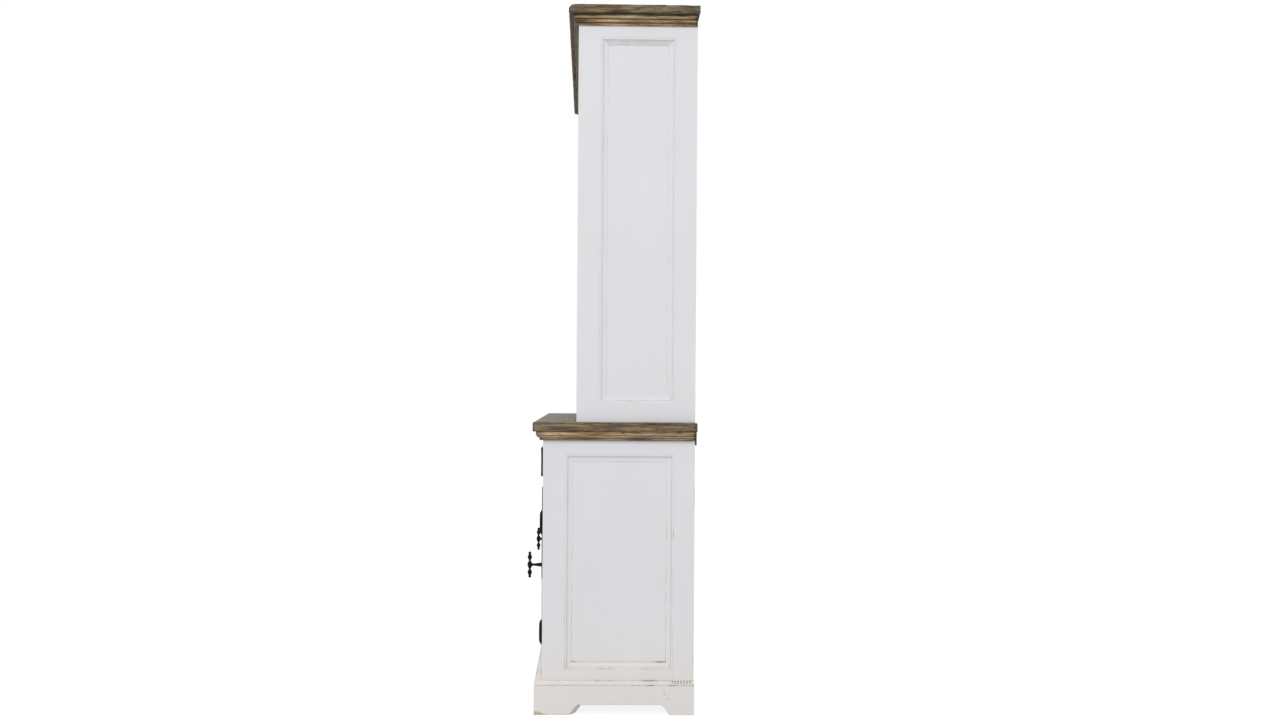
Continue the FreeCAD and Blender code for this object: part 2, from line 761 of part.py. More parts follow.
def save_all():
    """One file for each node, and a line that says what it holds."""
    os.makedirs("parts", exist_ok=True)
    whole = FreeCAD.BoundBox()
    for name in sorted(nodes):
        solids = nodes[name]
        shape = solids[0] if len(solids) == 1 else Part.makeCompound(solids)
        shape.exportStep("parts/" + name + ".step")
        whole.add(shape.BoundBox)
        sound = all(solid.isValid() and solid.Volume > 0 for solid in solids)
        print(name, len(solids), "solids", round(shape.Volume / 1000), "cm3",
              "" if sound else "NOT SOUND")
    print(len(nodes), "nodes", "x", round(whole.XMin, 2), round(whole.XMax, 2),
          "y", round(whole.YMin, 2), round(whole.YMax, 2),
          "z", round(whole.ZMin, 2), round(whole.ZMax, 2))


make_sides()
make_face_frame()
make_base_inside()
make_cleats()
make_plinth()
make_tops()
make_hutch_inside()
make_hinges()
make_doors()
make_drawers()
save_all()
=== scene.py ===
# %% [markdown]
# A trastero is a tall country cabinet in two parts: a base with drawers and doors, and an open
# shelved hutch that stands on its counter. This one is soft wood under rubbed white paint, with
# weathered boards for the counter and the crown, and forged iron on the doors.
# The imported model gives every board's place, so the lesson starts by loading it. Lengths are in
# millimetres until a mesh is made, because that is how a cabinet maker measures.
# %% Load the frame
import math
from functools import partial
from itertools import count

import bmesh
import bpy
import numpy as np
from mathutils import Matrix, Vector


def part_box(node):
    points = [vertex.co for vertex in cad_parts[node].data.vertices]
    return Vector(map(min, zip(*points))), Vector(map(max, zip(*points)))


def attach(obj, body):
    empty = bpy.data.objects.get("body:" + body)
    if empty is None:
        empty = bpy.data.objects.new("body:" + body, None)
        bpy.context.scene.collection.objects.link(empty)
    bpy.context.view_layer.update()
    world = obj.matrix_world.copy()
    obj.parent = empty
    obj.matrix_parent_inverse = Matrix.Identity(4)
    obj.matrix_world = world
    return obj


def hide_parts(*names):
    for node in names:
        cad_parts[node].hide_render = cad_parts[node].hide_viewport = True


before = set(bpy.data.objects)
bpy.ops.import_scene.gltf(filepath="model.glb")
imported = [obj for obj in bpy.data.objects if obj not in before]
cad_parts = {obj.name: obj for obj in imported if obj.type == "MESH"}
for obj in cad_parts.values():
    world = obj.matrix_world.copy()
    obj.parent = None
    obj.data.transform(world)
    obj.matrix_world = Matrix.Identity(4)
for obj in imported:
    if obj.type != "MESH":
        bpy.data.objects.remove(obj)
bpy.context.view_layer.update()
MM = 0.001


def box_mm(node):
    """Lowest and highest corner of a CAD node, in mm."""
    low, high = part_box(node)
    return np.array(low) / MM, np.array(high) / MM


def show(name, data):
    """A new object with this mesh, lamp or camera, linked into the scene."""
    thing = bpy.data.objects.new(name, data)
    bpy.context.scene.collection.objects.link(thing)
    return thing


# %% [markdown]
# The camera stood about 4.1 m from the cabinet's right end, one metre above the floor. The front
# edge of the crown and the far pull show how far it was: the nearer a camera is, the more they
# shrink. Lines that are level in the cabinet come together a little to one side, so the camera was
# turned by about a degree and leaned by a third of one. It wasn't tipped up or down: the uprights
# stay upright, and the lens is shifted to place the cabinet in the picture.
# %% Camera
camera_data = bpy.data.cameras.new("camera")
camera_data.sensor_width = 36
camera_data.lens = 37.373
camera_data.shift_x = 0.0193
camera_data.shift_y = 0.0226
camera_data.clip_end = 60
camera = show("camera", camera_data)
camera.location = (4.842, -0.0645, 1.0035)
camera.rotation_euler = [math.radians(degrees) for degrees in (90, -0.38, 88.9)]
bpy.context.scene.camera = camera
bpy.context.scene.view_settings.view_transform = "Standard"
print("camera at", tuple(camera.location))

# %% [markdown]
# Every board here was sawn, planed and then worn, so none has a knife-sharp edge. A board could be
# a cube with a Bevel modifier, but then nothing would say how near a point is to its arris, and
# the paint needs that to rub through there. So a board is worked out as the skin of a block of
# grid lines, close together near its edges. Each point keeps five facts for the finishes: grain is
# its place along and across the wood, edge its distance from the nearest open arris in mm, grime
# how deep it lies in a corner that gathers dirt, worn how many mm further than usual hands, feet
# and hinges have rubbed it, and tone how light its board is beside the others.
# %% Grid lines and the skin of a block
AXES = {"x": 0, "y": 1, "z": 2}
EDGE_LINES = np.array([0.0, 1.5, 4.0, 9.0])
HALF_ROUND_SHARE = 0.586  # of soft: this line lands half way round the rounding
END_SHARE = 0.45
FAR = 500.0
TOUCH = 0.01


def grid_lines(length, soft, step, extra):
    """Grid lines over one side: at the softened edge, just behind it, then at every step."""
    near = np.concatenate([[0.0, HALF_ROUND_SHARE * soft], soft + EDGE_LINES])
    near = near[near < END_SHARE * length]
    steps = max(1, math.ceil((length - 2 * near[-1]) / step))
    middle = np.linspace(near[-1], length - near[-1], steps + 1)
    lines = np.concatenate([near, middle, length - near, extra])
    return np.unique(np.round(lines[(lines >= 0) & (lines <= length)], 3))


def block_skin(lines):
    """Points on the skin of a block of grid lines, and the four-sided faces between neighbours."""
    shape = [len(axis_lines) for axis_lines in lines]
    lattice = np.stack(np.meshgrid(*lines, indexing="ij"), axis=-1).reshape(-1, 3)
    index = np.arange(np.prod(shape)).reshape(shape)
    sides = []
    for axis in range(3):
        for end in (0, -1):
            layer = np.take(index, end, axis=axis)
            quad = np.stack([layer[:-1, :-1], layer[1:, :-1], layer[1:, 1:], layer[:-1, 1:]], -1)
            sides.append(quad.reshape(-1, 4))
    used, numbers = np.unique(np.concatenate(sides), return_inverse=True)
    return lattice[used], numbers.reshape(-1, 4)


def side_distances(points, size, buried):
    """Distance of each point from the nearest open side, for each axis."""
    low = points.copy()
    high = size - points
    for side in buried:
        (low if side[1] == "0" else high)[:, AXES[side[0]]] += FAR
    return np.minimum(low, high)


def soften(points, size, soft):
    """Rounds all edges: a point keeps the distance soft from a block that is smaller by soft."""
    core = np.clip(points, soft, size - soft)
    out = points - core
    length = np.linalg.norm(out, axis=1, keepdims=True)
    return core + soft * out / np.maximum(length, 1e-9)


def fading(distance, reach):
    """1 at no distance, falling evenly to 0 at this reach."""
    return np.clip(1 - distance / reach, 0, 1)


def waves(points, lengths, seed):
    """Smooth unevenness from -1 to 1: the mean of sine waves, each in a direction of its own."""
    chance = np.random.default_rng(seed)
    total = np.zeros(len(points))
    for length in lengths:
        direction = chance.normal(size=3)
        direction /= np.linalg.norm(direction)
        total += np.sin(points @ direction * 2 * math.pi / length + chance.uniform(0, 7))
    return total / len(lengths)


# %% [markdown]
# One function makes a board between two corners. It could return a mesh at once, but a door frame
# or a plank wall is many boards in one piece, so it returns arrays, which are joined later.
# A warp may bend the points afterwards: that is how the arch, the bracket feet, the finger scoops
# and the hinge notches are cut, with no face lost.
# %% A board
USUAL_FACTS = {"edge": FAR, "grime": 0.0, "worn": 0.0, "tone": 1.0}
TREE_STEP = np.array([0.731, 0.377, 0.513])
UNEVEN = (310.0, 170.0, 90.0)
board_numbers = count(1)


def grain_place(points, along, seed):
    """Place in the tree that the board was sawn from: along the grain first, in metres."""
    order = [AXES[along]] + [axis for axis in range(3) if axis != AXES[along]]
    return points.reshape(-1, 3)[:, order] * MM + TREE_STEP * seed


def make_part(points, quads, caps, grain, **facts):
    """The arrays of a board, strip or round piece. A fact of one value goes to all its points."""
    part = {"points": points.reshape(-1, 3), "quads": quads, "caps": caps, "grain": grain}
    for fact, usual in USUAL_FACTS.items():
        spread = np.broadcast_to(facts.get(fact, usual), points.shape[:-1])
        part[fact] = spread.ravel().astype(float)
    return part


def board(low, high, along, soft=1.3, step=70.0, buried=(), extra=None, warp=None, rough=0.25,
          wear=None, tone=1.0):
    """A softened, slightly uneven board between two corners, in mm."""
    seed = next(board_numbers)
    low, high = np.sort(np.array([low, high], float), axis=0)
    size = high - low
    extra = extra or {}
    lines = [grid_lines(size[axis], soft, step, np.asarray(extra.get(name, []), float) - low[axis])
             for name, axis in AXES.items()]
    flat, quads = block_skin(lines)
    near = side_distances(flat, size, buried)
    points = soften(flat, size, soft) + low
    flat = flat + low
    bump = rough * waves(flat, UNEVEN, seed)
    points += np.sign(flat - (low + high) / 2) * (near < TOUCH) * bump[:, None]
    if warp:
        points = warp(points, flat, near)
    return make_part(points, quads, (), grain_place(flat, along, seed), tone=tone,
                     edge=np.sort(near, axis=1)[:, 1], worn=wear(flat, near) if wear else 0.0)


def mirrored(parts):
    """The same arrays on the other side of the middle, sawn from another tree."""
    return [part | {"points": part["points"] * np.array([-1.0, 1.0, 1.0]),
                    "grain": part["grain"] + TREE_STEP * next(board_numbers)} for part in parts]


SIDES = {"right": list, "left": mirrored}


# %% [markdown]
# A piece is one Blender mesh made from such arrays. foreach_set writes them at once, which is much
# faster than adding corners one by one. The faces are turned outwards, because a mirrored board
# is inside out, and only edges sharper than 38 degrees stay crisp, as planed wood and cast iron do.
# %% A piece from its arrays
CRISP = math.radians(38)
finishes = {}


def make_piece(name, parts, *nodes, slot="painted_pine", body="cabinet", finish=None):
    """Joins the arrays into one mesh with its facts, rides it on its body and hides the CAD node."""
    starts = np.cumsum([0] + [len(part["points"]) for part in parts])
    corners = [part["quads"].ravel() + start for part, start in zip(parts, starts)]
    totals = [np.full(len(part["quads"]), 4) for part in parts]
    for part, start in zip(parts, starts):
        for cap in part["caps"]:
            corners.append(cap + start)
            totals.append([len(cap)])
    corners = np.concatenate(corners)
    totals = np.concatenate(totals)
    mesh = bpy.data.meshes.new(name)
    mesh.vertices.add(int(starts[-1]))
    points = np.concatenate([part["points"] for part in parts]) * MM
    mesh.vertices.foreach_set("co", points.astype(np.float32).ravel())
    mesh.loops.add(len(corners))
    mesh.loops.foreach_set("vertex_index", corners.astype(np.int32))
    mesh.polygons.add(len(totals))
    mesh.polygons.foreach_set("loop_start", (np.cumsum(totals) - totals).astype(np.int32))
    mesh.update(calc_edges=True)
    mesh.validate()
    shell = bmesh.new()
    shell.from_mesh(mesh)
    bmesh.ops.recalc_face_normals(shell, faces=shell.faces)
    shell.to_mesh(mesh)
    shell.free()
    for fact in (*USUAL_FACTS, "grain"):
        values = np.concatenate([part[fact] for part in parts]).astype(np.float32)
        kind, key = ("FLOAT", "value") if values.ndim == 1 else ("FLOAT_VECTOR", "vector")
        mesh.attributes.new(fact, kind, "POINT").data.foreach_set(key, values.ravel())
    mesh.shade_smooth()
    mesh.set_sharp_from_angle(angle=CRISP)
    mesh.materials.append(finishes[finish or slot])
    piece = show(name, mesh)
    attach(piece, body)
    if nodes:
        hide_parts(*nodes)
    print(name, len(mesh.vertices), "points for", ", ".join(nodes) or "a detail of its own")


# %% [markdown]
# The finishes come next. Colours are written as they look on a screen, as hex, and one function
# turns them into the linear values that light needs. One more function adds a node with its
# settings and links and returns its output, so each finish below reads like a recipe.
# %% Colour and node helpers
def colour(code):
    """sRGB hex to linear: the low end is a straight line, the rest a power of 2.4."""
    share = np.array([int(code[start:start + 2], 16) for start in (1, 3, 5)]) / 255
    linear = np.where(share <= 0.04045, share / 12.92, ((share + 0.055) / 1.055) ** 2.4)
    return (*linear.tolist(), 1.0)


def fill(tree, sockets, values):
    """Gives each socket its value, or a link where the value is another node's output."""
    for key, value in values.items():
        if isinstance(value, bpy.types.NodeSocket):
            tree.links.new(value, sockets[key])
        else:
            sockets[key].default_value = value


def add_node(tree, kind, inputs=(), output=None, stops=(), **settings):
    """Adds a node and returns its output: the named one, or else the first that is live.

    Inputs go by name, or as a list that fills the live sockets in order. Stops are a ramp's
    colours.
    """
    node = tree.nodes.new("ShaderNode" + kind)
    for name, value in settings.items():
        setattr(node, name, value)
    if isinstance(inputs, dict):
        fill(tree, node.inputs, inputs)
    else:
        fill(tree, [socket for socket in node.inputs if socket.enabled], dict(enumerate(inputs)))
    for number, (place, code) in enumerate(stops):
        ramp = node.color_ramp.elements
        stop = ramp[number] if number < len(ramp) else ramp.new(place)
        stop.position = place
        stop.color = colour(code)
    return node.outputs[output] if output else next(live for live in node.outputs if live.enabled)


def new_finish(name):
    """A new material, add for its nodes and shade for what goes into its shader."""
    finish = bpy.data.materials.new(name)
    finish.use_nodes = True
    tree = finish.node_tree
    shader = tree.nodes["Principled BSDF"]
    return finish, partial(add_node, tree), partial(fill, tree, shader.inputs)


def read_facts(add, *facts):
    """The outputs that give the point's own facts."""
    return [add("Attribute", output="Vector" if fact == "grain" else "Fac", attribute_name=fact)
            for fact in facts]


# %% [markdown]
# Painted pine: white chalk paint, brushed along each board over a tan undercoat, then rubbed back
# and handled until the arrises show undercoat first and brown wood next. Chalk paint scatters
# light evenly, so it is rough and has almost no shine. Noise decides how far the rubbing reaches
# from an arris, in mm: mostly under 1 mm, so that from a distance it is a faint line, less on the
# hutch, and more near the floor, where shoes and brooms reach and years of mopping turn the white
# creamy.
# Brush marks are noise stretched along the grain: real ones are under 1 mm wide, drawn here at
# 2 mm so that they show.
# %% Finish: painted pine
def painted_pine():
    finish, add, shade = new_finish("chalk paint rubbed through over pine")
    grain, edge, grime, worn, tone = read_facts(add, "grain", "edge", "grime", "worn", "tone")
    place = add("TexCoord", output="Object")
    height = add("SeparateXYZ", [place], "Z")
    cloud = add("TexNoise", [place, 3.2, 3.0])
    patch = add("TexNoise", [place, 17.0, 4.0, 0.62])
    speck = add("TexNoise", [place, 260.0, 3.0])
    strokes_place = add("Mapping", {"Vector": grain, "Scale": (9.0, 420.0, 420.0)})
    strokes = add("TexNoise", [strokes_place, 1.0, 3.0])
    fibre_place = add("Mapping", {"Vector": grain, "Scale": (5.0, 95.0, 95.0)})
    fibre = add("TexNoise", [fibre_place, 1.0, 5.0, 0.65])
    low_down = add("MapRange", [height, 0.34, 0.04])
    out_of_reach = add("MapRange", [height, 0.9, 1.2, 0.0, -0.75])
    reach = add("MapRange", [patch, 0.48, 0.76, -1.0, 2.0])
    ragged = add("Math", [speck, 2.0, -1.0], operation="MULTIPLY_ADD")
    rubbing = add("Math", [reach, ragged], operation="ADD")
    reached = add("Math", [rubbing, out_of_reach], operation="ADD")
    floor_wear = add("Math", [low_down, 1.5, reached], operation="MULTIPLY_ADD")
    handled = add("Math", [floor_wear, worn], operation="ADD")
    margin = add("Math", [handled, edge], operation="SUBTRACT")
    undercoat = add("MapRange", [margin, -0.8, 0.6])
    bare = add("MapRange", [margin, 1.1, 2.2])
    cream_share = add("Math", [low_down, fibre], operation="MULTIPLY")
    dirt = add("Math", [grime, patch], operation="MULTIPLY")
    dirt_share = add("MapRange", [dirt, 0.10, 0.60, 0.0, 0.70])
    seen = add("ValToRGB", [cloud], stops=[(0.32, "#DAD9DC"), (0.68, "#DEDDE4")])
    for share, code in [(fibre, "#D8D8DA"), (cream_share, "#DFD9CF"), (undercoat, "#CFC0AB"),
                        (bare, "#7D6245"), (dirt_share, "#958A7E")]:
        seen = add("Mix", [share, seen, colour(code)], data_type="RGBA")
    toned = add("VectorMath", [seen, tone], operation="SCALE")
    relief = add("Math", [strokes, 0.35, fibre], operation="MULTIPLY_ADD")
    lowered = add("Math", [undercoat, -0.8, relief], operation="MULTIPLY_ADD")
    bump = add("Bump", {"Height": lowered, "Strength": 0.35, "Distance": 0.0004})
    shade({"Base Color": toned, "Normal": bump, "Roughness": 0.62, "Specular IOR Level": 0.3})
    return finish


finishes["painted_pine"] = painted_pine()
print("finish", finishes["painted_pine"].name)

# %% [markdown]
# Weathered oak: old boards sawn from barn wood and waxed. Years of light turn the surface grey,
# wear brings back the brown, and the soft early wood goes first, so the grain stands up in
# ridges with dark cracks along it. The colour is a solid texture, read at the grain fact: three
# noises, 2, 7 and 33 mm wide and drawn out along the board, are added and spread over five tones,
# so that long sides, ends and tops all agree. What faces up is paler, with light and dust.
# Knots are the few cells of a Voronoi pattern whose centres come near the surface, and small pits
# are the peaks of a noise 5 mm wide.
# The mouldings were planed from the heart of the same wood, so they have the same recipe with
# golden tones and finer cracks.
# %% Finish: weathered oak
def weathered_oak(name, tones, honey_most, crack_most):
    finish, add, shade = new_finish(name)
    grain, edge, grime, tone = read_facts(add, "grain", "edge", "grime", "tone")
    wander = add("TexNoise", [grain, 9.0, 2.0], "Color")
    bend = add("VectorMath", [wander, (0.0, 0.012, 0.012)], operation="MULTIPLY")
    bent = add("VectorMath", [grain, bend], operation="ADD")
    streak = {}
    for kind, place, stretch, detail, rough in [
            ("wide", bent, (10.0, 135.0, 135.0), 4.0, 0.6),
            ("fine", bent, (20.0, 520.0, 520.0), 4.0, 0.6),
            ("cloud", grain, (9.0, 30.0, 30.0), 3.0, 0.5),
            ("crack", bent, (6.0, 75.0, 75.0), 1.0, 0.5),
            ("pit", grain, (42.0, 210.0, 210.0), 1.0, 0.5)]:
        stretched = add("Mapping", {"Vector": place, "Scale": stretch})
        streak[kind] = add("TexNoise", [stretched, 1.0, detail, rough])
    grained = add("Math", [streak["fine"], 1.0, streak["wide"]], operation="MULTIPLY_ADD")
    mixed = add("Math", [streak["cloud"], 0.5, grained], operation="MULTIPLY_ADD")
    spread = add("MapRange", [mixed, 0.93, 1.55])
    streaks = add("ValToRGB", [spread], stops=zip((0.0, 0.29, 0.53, 0.77, 1.0), tones))
    patina = add("TexNoise", [grain, 7.5, 3.0])
    patina_share = add("MapRange", [patina, 0.42, 0.62, 0.0, honey_most])
    honey = add("Mix", [1.0, streaks, colour("#F2D09A")], data_type="RGBA", blend_type="MULTIPLY")
    crack_line = add("Math", [streak["crack"], 0.5], operation="SUBTRACT")
    crack_near = add("Math", [crack_line], operation="ABSOLUTE")
    crack_part = add("MapRange", [crack_near, 0.003, 0.016, crack_most, 0.0])
    crack_where = add("MapRange", [patina, 0.60, 0.48])
    crack_share = add("Math", [crack_part, crack_where], operation="MULTIPLY")
    pit_share = add("MapRange", [streak["pit"], 0.64, 0.72, 0.0, 0.75])
    open_grain = add("Math", [crack_share, pit_share], operation="MAXIMUM")
    knot_place = add("Mapping", {"Vector": grain, "Scale": (4.0, 24.0, 24.0)})
    knot = add("TexVoronoi", [knot_place, 1.0])
    knot_share = add("MapRange", [knot, 0.07, 0.24, 0.8, 0.0])
    rubbed = add("MapRange", [edge, 0.0, 2.5, 0.08, 0.0])
    dirt_share = add("MapRange", [grime, 0.1, 1.0, 0.0, 0.85])
    upward = add("SeparateXYZ", [add("NewGeometry", output="Normal")], "Z")
    dust_share = add("MapRange", [upward, 0.8, 1.0, 0.0, 0.52])
    seen = streaks
    for share, paint in [(patina_share, honey), (open_grain, colour("#2A2118")),
                         (knot_share, colour("#33271C")), (rubbed, colour("#A5916F")),
                         (dirt_share, colour("#2E2318")), (dust_share, colour("#A39E9A"))]:
        seen = add("Mix", [share, seen, paint], data_type="RGBA")
    toned = add("VectorMath", [seen, tone], operation="SCALE")
    height = add("Math", [open_grain, -0.7, spread], operation="MULTIPLY_ADD")
    bump = add("Bump", {"Height": height, "Strength": 0.75, "Distance": 0.0016})
    shade({"Base Color": toned, "Normal": bump, "Roughness": 0.68, "Specular IOR Level": 0.28})
    return finish


finishes["weathered_oak"] = weathered_oak(
    "weathered reclaimed oak, waxed",
    ("#2F271B", "#584C39", "#7B6D55", "#998A6F", "#B0A085"), 0.5, 0.6)
finishes["golden_oak"] = weathered_oak(
    "reclaimed oak planed to its golden heart, waxed",
    ("#56462E", "#877052", "#A68F71", "#BDA689", "#D0BC9A"), 0.3, 0.35)
print("finishes", finishes["weathered_oak"].name, "and", finishes["golden_oak"].name)

# %% [markdown]
# Bare pine: the drawer boxes, guides and back boards were planed and left as they were. Planed pine
# is pale and warm, with darker late wood in bands about 5 mm apart. The bands are rings round the
# tree's heart, so the distance from a line along the grain gives them, bent a little by noise.
# Carried-over CAD boards have no grain fact, so their recipe reads Object coordinates, turned so
# that the grain runs along the cabinet's width.
# %% Finish: bare pine
RING_MM = 5.0


def bare_pine(name, from_object):
    finish, add, shade = new_finish(name)
    grain = add("TexCoord", output="Object") if from_object else read_facts(add, "grain")[0]
    wander = add("TexNoise", [grain, 5.0, 2.0], "Color")
    bend = add("VectorMath", [wander, (0.0, 0.05, 0.05)], operation="MULTIPLY")
    bent = add("VectorMath", [grain, bend], operation="ADD")
    across = add("Mapping", {"Vector": bent, "Scale": (0.05, 1.0, 0.4)})
    radius = add("VectorMath", [across], operation="LENGTH")
    rings = add("Math", [radius, 1 / (RING_MM * MM)], operation="MULTIPLY")
    ring = add("Math", [rings], operation="FRACT")
    fibre_place = add("Mapping", {"Vector": bent, "Scale": (14.0, 700.0, 700.0)})
    fibre = add("TexNoise", [fibre_place, 1.0, 3.0])
    mixed = add("Math", [fibre, 0.4, ring], operation="MULTIPLY_ADD")
    tone = add("ValToRGB", [mixed], stops=[(0.15, "#DCCDB4"), (0.70, "#D3C1A2"), (1.0, "#BBA07C")])
    bump = add("Bump", {"Height": mixed, "Strength": 0.25, "Distance": 0.0003})
    shade({"Base Color": tone, "Normal": bump, "Roughness": 0.6})
    return finish


finishes["bare_pine"] = bare_pine("planed pine, unfinished", False)
finishes["bare_pine_cad"] = bare_pine("planed pine, unfinished, on carried-over boards", True)
print("finish", finishes["bare_pine"].name)

# %% [markdown]
# Forged iron: the pulls and hinges were hammered hot and blackened with oil and wax. What looks
# black is a thin oxide skin on metal, so the base is dark, the metallic value high and the shine
# broken: wide for the wax, with hammer dents about 5 mm across and a little brown where it rusts.
# The oxide also keeps the rim from shining white at a low angle, which the specular tint does.
# %% Finish: forged iron
def forged_iron():
    finish, add, shade = new_finish("forged iron, blackened and waxed")
    place = add("TexCoord", output="Object")
    dents = add("TexNoise", [place, 190.0, 2.0])
    grit = add("TexNoise", [place, 1100.0, 3.0])
    tone = add("ValToRGB", [dents], stops=[(0.35, "#1D1C1B"), (0.60, "#262423"), (0.74, "#38302A")])
    gloss = add("MapRange", [grit, 0.3, 0.7, 0.42, 0.66])
    height = add("Math", [grit, 0.15, dents], operation="MULTIPLY_ADD")
    bump = add("Bump", {"Height": height, "Strength": 0.7, "Distance": 0.0009})
    shade({"Base Color": tone, "Roughness": gloss, "Normal": bump, "Metallic": 0.7,
           "Specular IOR Level": 0.15, "Specular Tint": colour("#76736F")})
    return finish


finishes["forged_iron"] = forged_iron()
print("finish", finishes["forged_iron"].name)

# %% [markdown]
# A moulding is a strip with a shaped section, planed in one length and cut at 45 degrees where it
# turns a corner. It could be swept along a curve, but a mitre is only right if each line of the
# section is cut where it meets its twin, so the strip is a grid: one way round the section, the
# other way along it, and each line's length grows or shrinks with its own reach.
# Dirt stays in a section's inner corners and paint rubs off its outer ones, so both are found from
# the way the outline turns.
# %% A mitred moulding
SECTION_STEP = 1.6
OUTER_TURN, INNER_TURN = 0.45, -0.30
END_DIRT_REACH, END_DIRT_SHARE = 3.0, 0.55
END_WEAR_REACH = 16.0
SLOPE_FROM_SHARE, SLOPE_TO_SHARE = 0.12, 0.93


def section(legs, reach, height):
    """Closed outline from legs of shares: one point is a straight leg, two are a curved one.

    A curved leg is the parabola that passes its middle point half way.
    """
    here = np.zeros(2)
    scale = np.array([reach, height])
    outline = [here[None, :]]
    for leg in legs + [[(0.0, 0.0)]]:
        end = np.array(leg[-1]) * scale
        middle = np.array(leg[0]) * scale if len(leg) == 2 else (here + end) / 2
        steps = max(1, math.ceil(np.linalg.norm(end - here) / SECTION_STEP))
        t = (np.arange(steps) + 1)[:, None] / steps
        outline.append(here * (1 - t) * (1 - 2 * t) + middle * 4 * t * (1 - t)
                       + end * t * (2 * t - 1))
        here = end
    return np.concatenate(outline)[:-1]


def turning(outline):
    """How far each point lies, in mm along the outline, from an outer and from an inner corner."""
    ahead = np.roll(outline, -1, axis=0) - outline
    behind = outline - np.roll(outline, 1, axis=0)
    angle = np.arctan2(behind[:, 0] * ahead[:, 1] - behind[:, 1] * ahead[:, 0],
                       (behind * ahead).sum(axis=1))
    around = np.cumsum(np.linalg.norm(behind, axis=1))
    area = (outline[:, 0] * ahead[:, 1] - outline[:, 1] * ahead[:, 0]).sum()
    angle = angle * np.sign(area)
    gaps = np.abs(around[:, None] - around[None, :])
    outer = np.where(angle[None, :] > OUTER_TURN, gaps, FAR).min(axis=1)
    inner = np.where(angle[None, :] < INNER_TURN, gaps, FAR).min(axis=1)
    return outer, inner


def facing_down(outline):
    """1 where an outline's face looks down, 0 where it is upright or looks up."""
    run = np.roll(outline, -1, axis=0) - np.roll(outline, 1, axis=0)
    return np.clip(run[:, 0] / np.linalg.norm(run, axis=1), 0, 1)


def tube(rows, columns):
    """The faces of a tube of rings of points, and its two end faces."""
    number = np.arange(rows * columns).reshape(rows, columns)
    beside = np.roll(number, -1, axis=1)
    quads = np.stack([number[:-1], beside[:-1], beside[1:], number[1:]], -1)
    return quads.reshape(-1, 4), (number[0], number[-1])


def strip(outline, start, along, outward, up, length, mitres, step=30.0, worn=0.0, dusty=0.0,
          corner_worn=0.0, tone=1.0, under_tone=1.0, dirt_reach=2.2, extra=()):
    """A mitred strip. A section point goes from -first * reach to length + last * reach.

    worn is extra rubbing in mm, corner_worn more of it at the ends, dusty the least grime on the
    slope, under_tone the share of the tone that is left on faces that look down, and dirt_reach
    how far dirt reaches out of an inner corner.
    """
    first, last = mitres
    reach, height = outline.T
    lines = grid_lines(length, 0.1, step, np.asarray(extra, float))
    travel = -first * reach + (lines / length)[:, None] * (length + (first + last) * reach)
    points = (np.asarray(start, float) + travel[..., None] * np.asarray(along)
              + outline[None, :, :1] * np.asarray(outward) + outline[None, :, 1:] * np.asarray(up))
    outer, inner = turning(outline)
    corner = np.minimum(lines, length - lines)[:, None]
    grime = (fading(inner, dirt_reach)[None, :]
             + fading(corner, END_DIRT_REACH) * END_DIRT_SHARE)
    height_share = height / height.max()
    sloping = (height_share > SLOPE_FROM_SHARE) & (height_share < SLOPE_TO_SHARE)
    grain = np.stack([travel, *np.broadcast_arrays(reach, height, travel)[:2]], -1)
    return make_part(points, *tube(*travel.shape), grain_place(grain, "x", next(board_numbers)),
                     edge=outer, grime=np.clip(np.maximum(grime, dusty * sloping), 0, 1),
                     worn=worn + corner_worn * fading(corner, END_WEAR_REACH),
                     tone=tone * (1 - (1 - under_tone) * facing_down(outline)))


def round_case(outline, front, bottom, half, back, front_tones=(1.0, 1.0), end_tone=1.0, **looks):
    """A moulding round the front and both ends of a case. front_tones: tone and under_tone."""
    across, deep, up = np.eye(3)
    front_strip = strip(outline, (-half, front, bottom), across, -deep, up, 2 * half, (1, 1),
                        tone=front_tones[0], under_tone=front_tones[1], **looks)
    end_strip = strip(outline, (half, front, bottom), deep, across, up, back - front, (1, 0),
                      tone=end_tone, **looks)
    return [front_strip, end_strip] + mirrored([end_strip])


def inside_frame(outline, corner, across, up, out, width, height, looks=({}, {}, {}, {})):
    """A moulding round the inside of a frame, on its panel: foot, side, head, side, as in looks."""
    corner, across, up, out = np.array([corner, across, up, out], float)
    far = corner + across * width
    runs = [(corner, across, up, width), (far, up, -across, height),
            (far + up * height, -across, -up, width), (corner + up * height, -up, across, height)]
    return [strip(outline, start, along, inwards, out, length, (-1, -1), **look)
            for (start, along, inwards, length), look in zip(runs, looks)]


# %% [markdown]
# Each end of the cabinet is a frame of two upright stiles and two rails round a thin panel. The
# panel sits in a groove, so it can move with the seasons, and a small moulding hides the gap.
# Each rail runs 1.5 mm into its stiles here, so the softened ends leave only the fine line that
# a painted joint has.
# %% Framed ends and their mouldings
STILE_FRONT, STILE_BACK = 70.0, 65.0
RAILS = {"base": (97.0, 71.0), "hutch": (62.0, 68.0)}
MOULDING_WIDTH, MOULDING_HEIGHT = 22.0, 8.0
SUNK = 1.5
panel_shares = [[(1.0, 0.0)], [(0.97, 0.18), (0.86, 0.20)], [(0.56, 0.32), (0.33, 0.70)],
                [(0.29, 0.75)], [(0.21, 0.95), (0.08, 1.0)], [(0.0, 1.0)]]


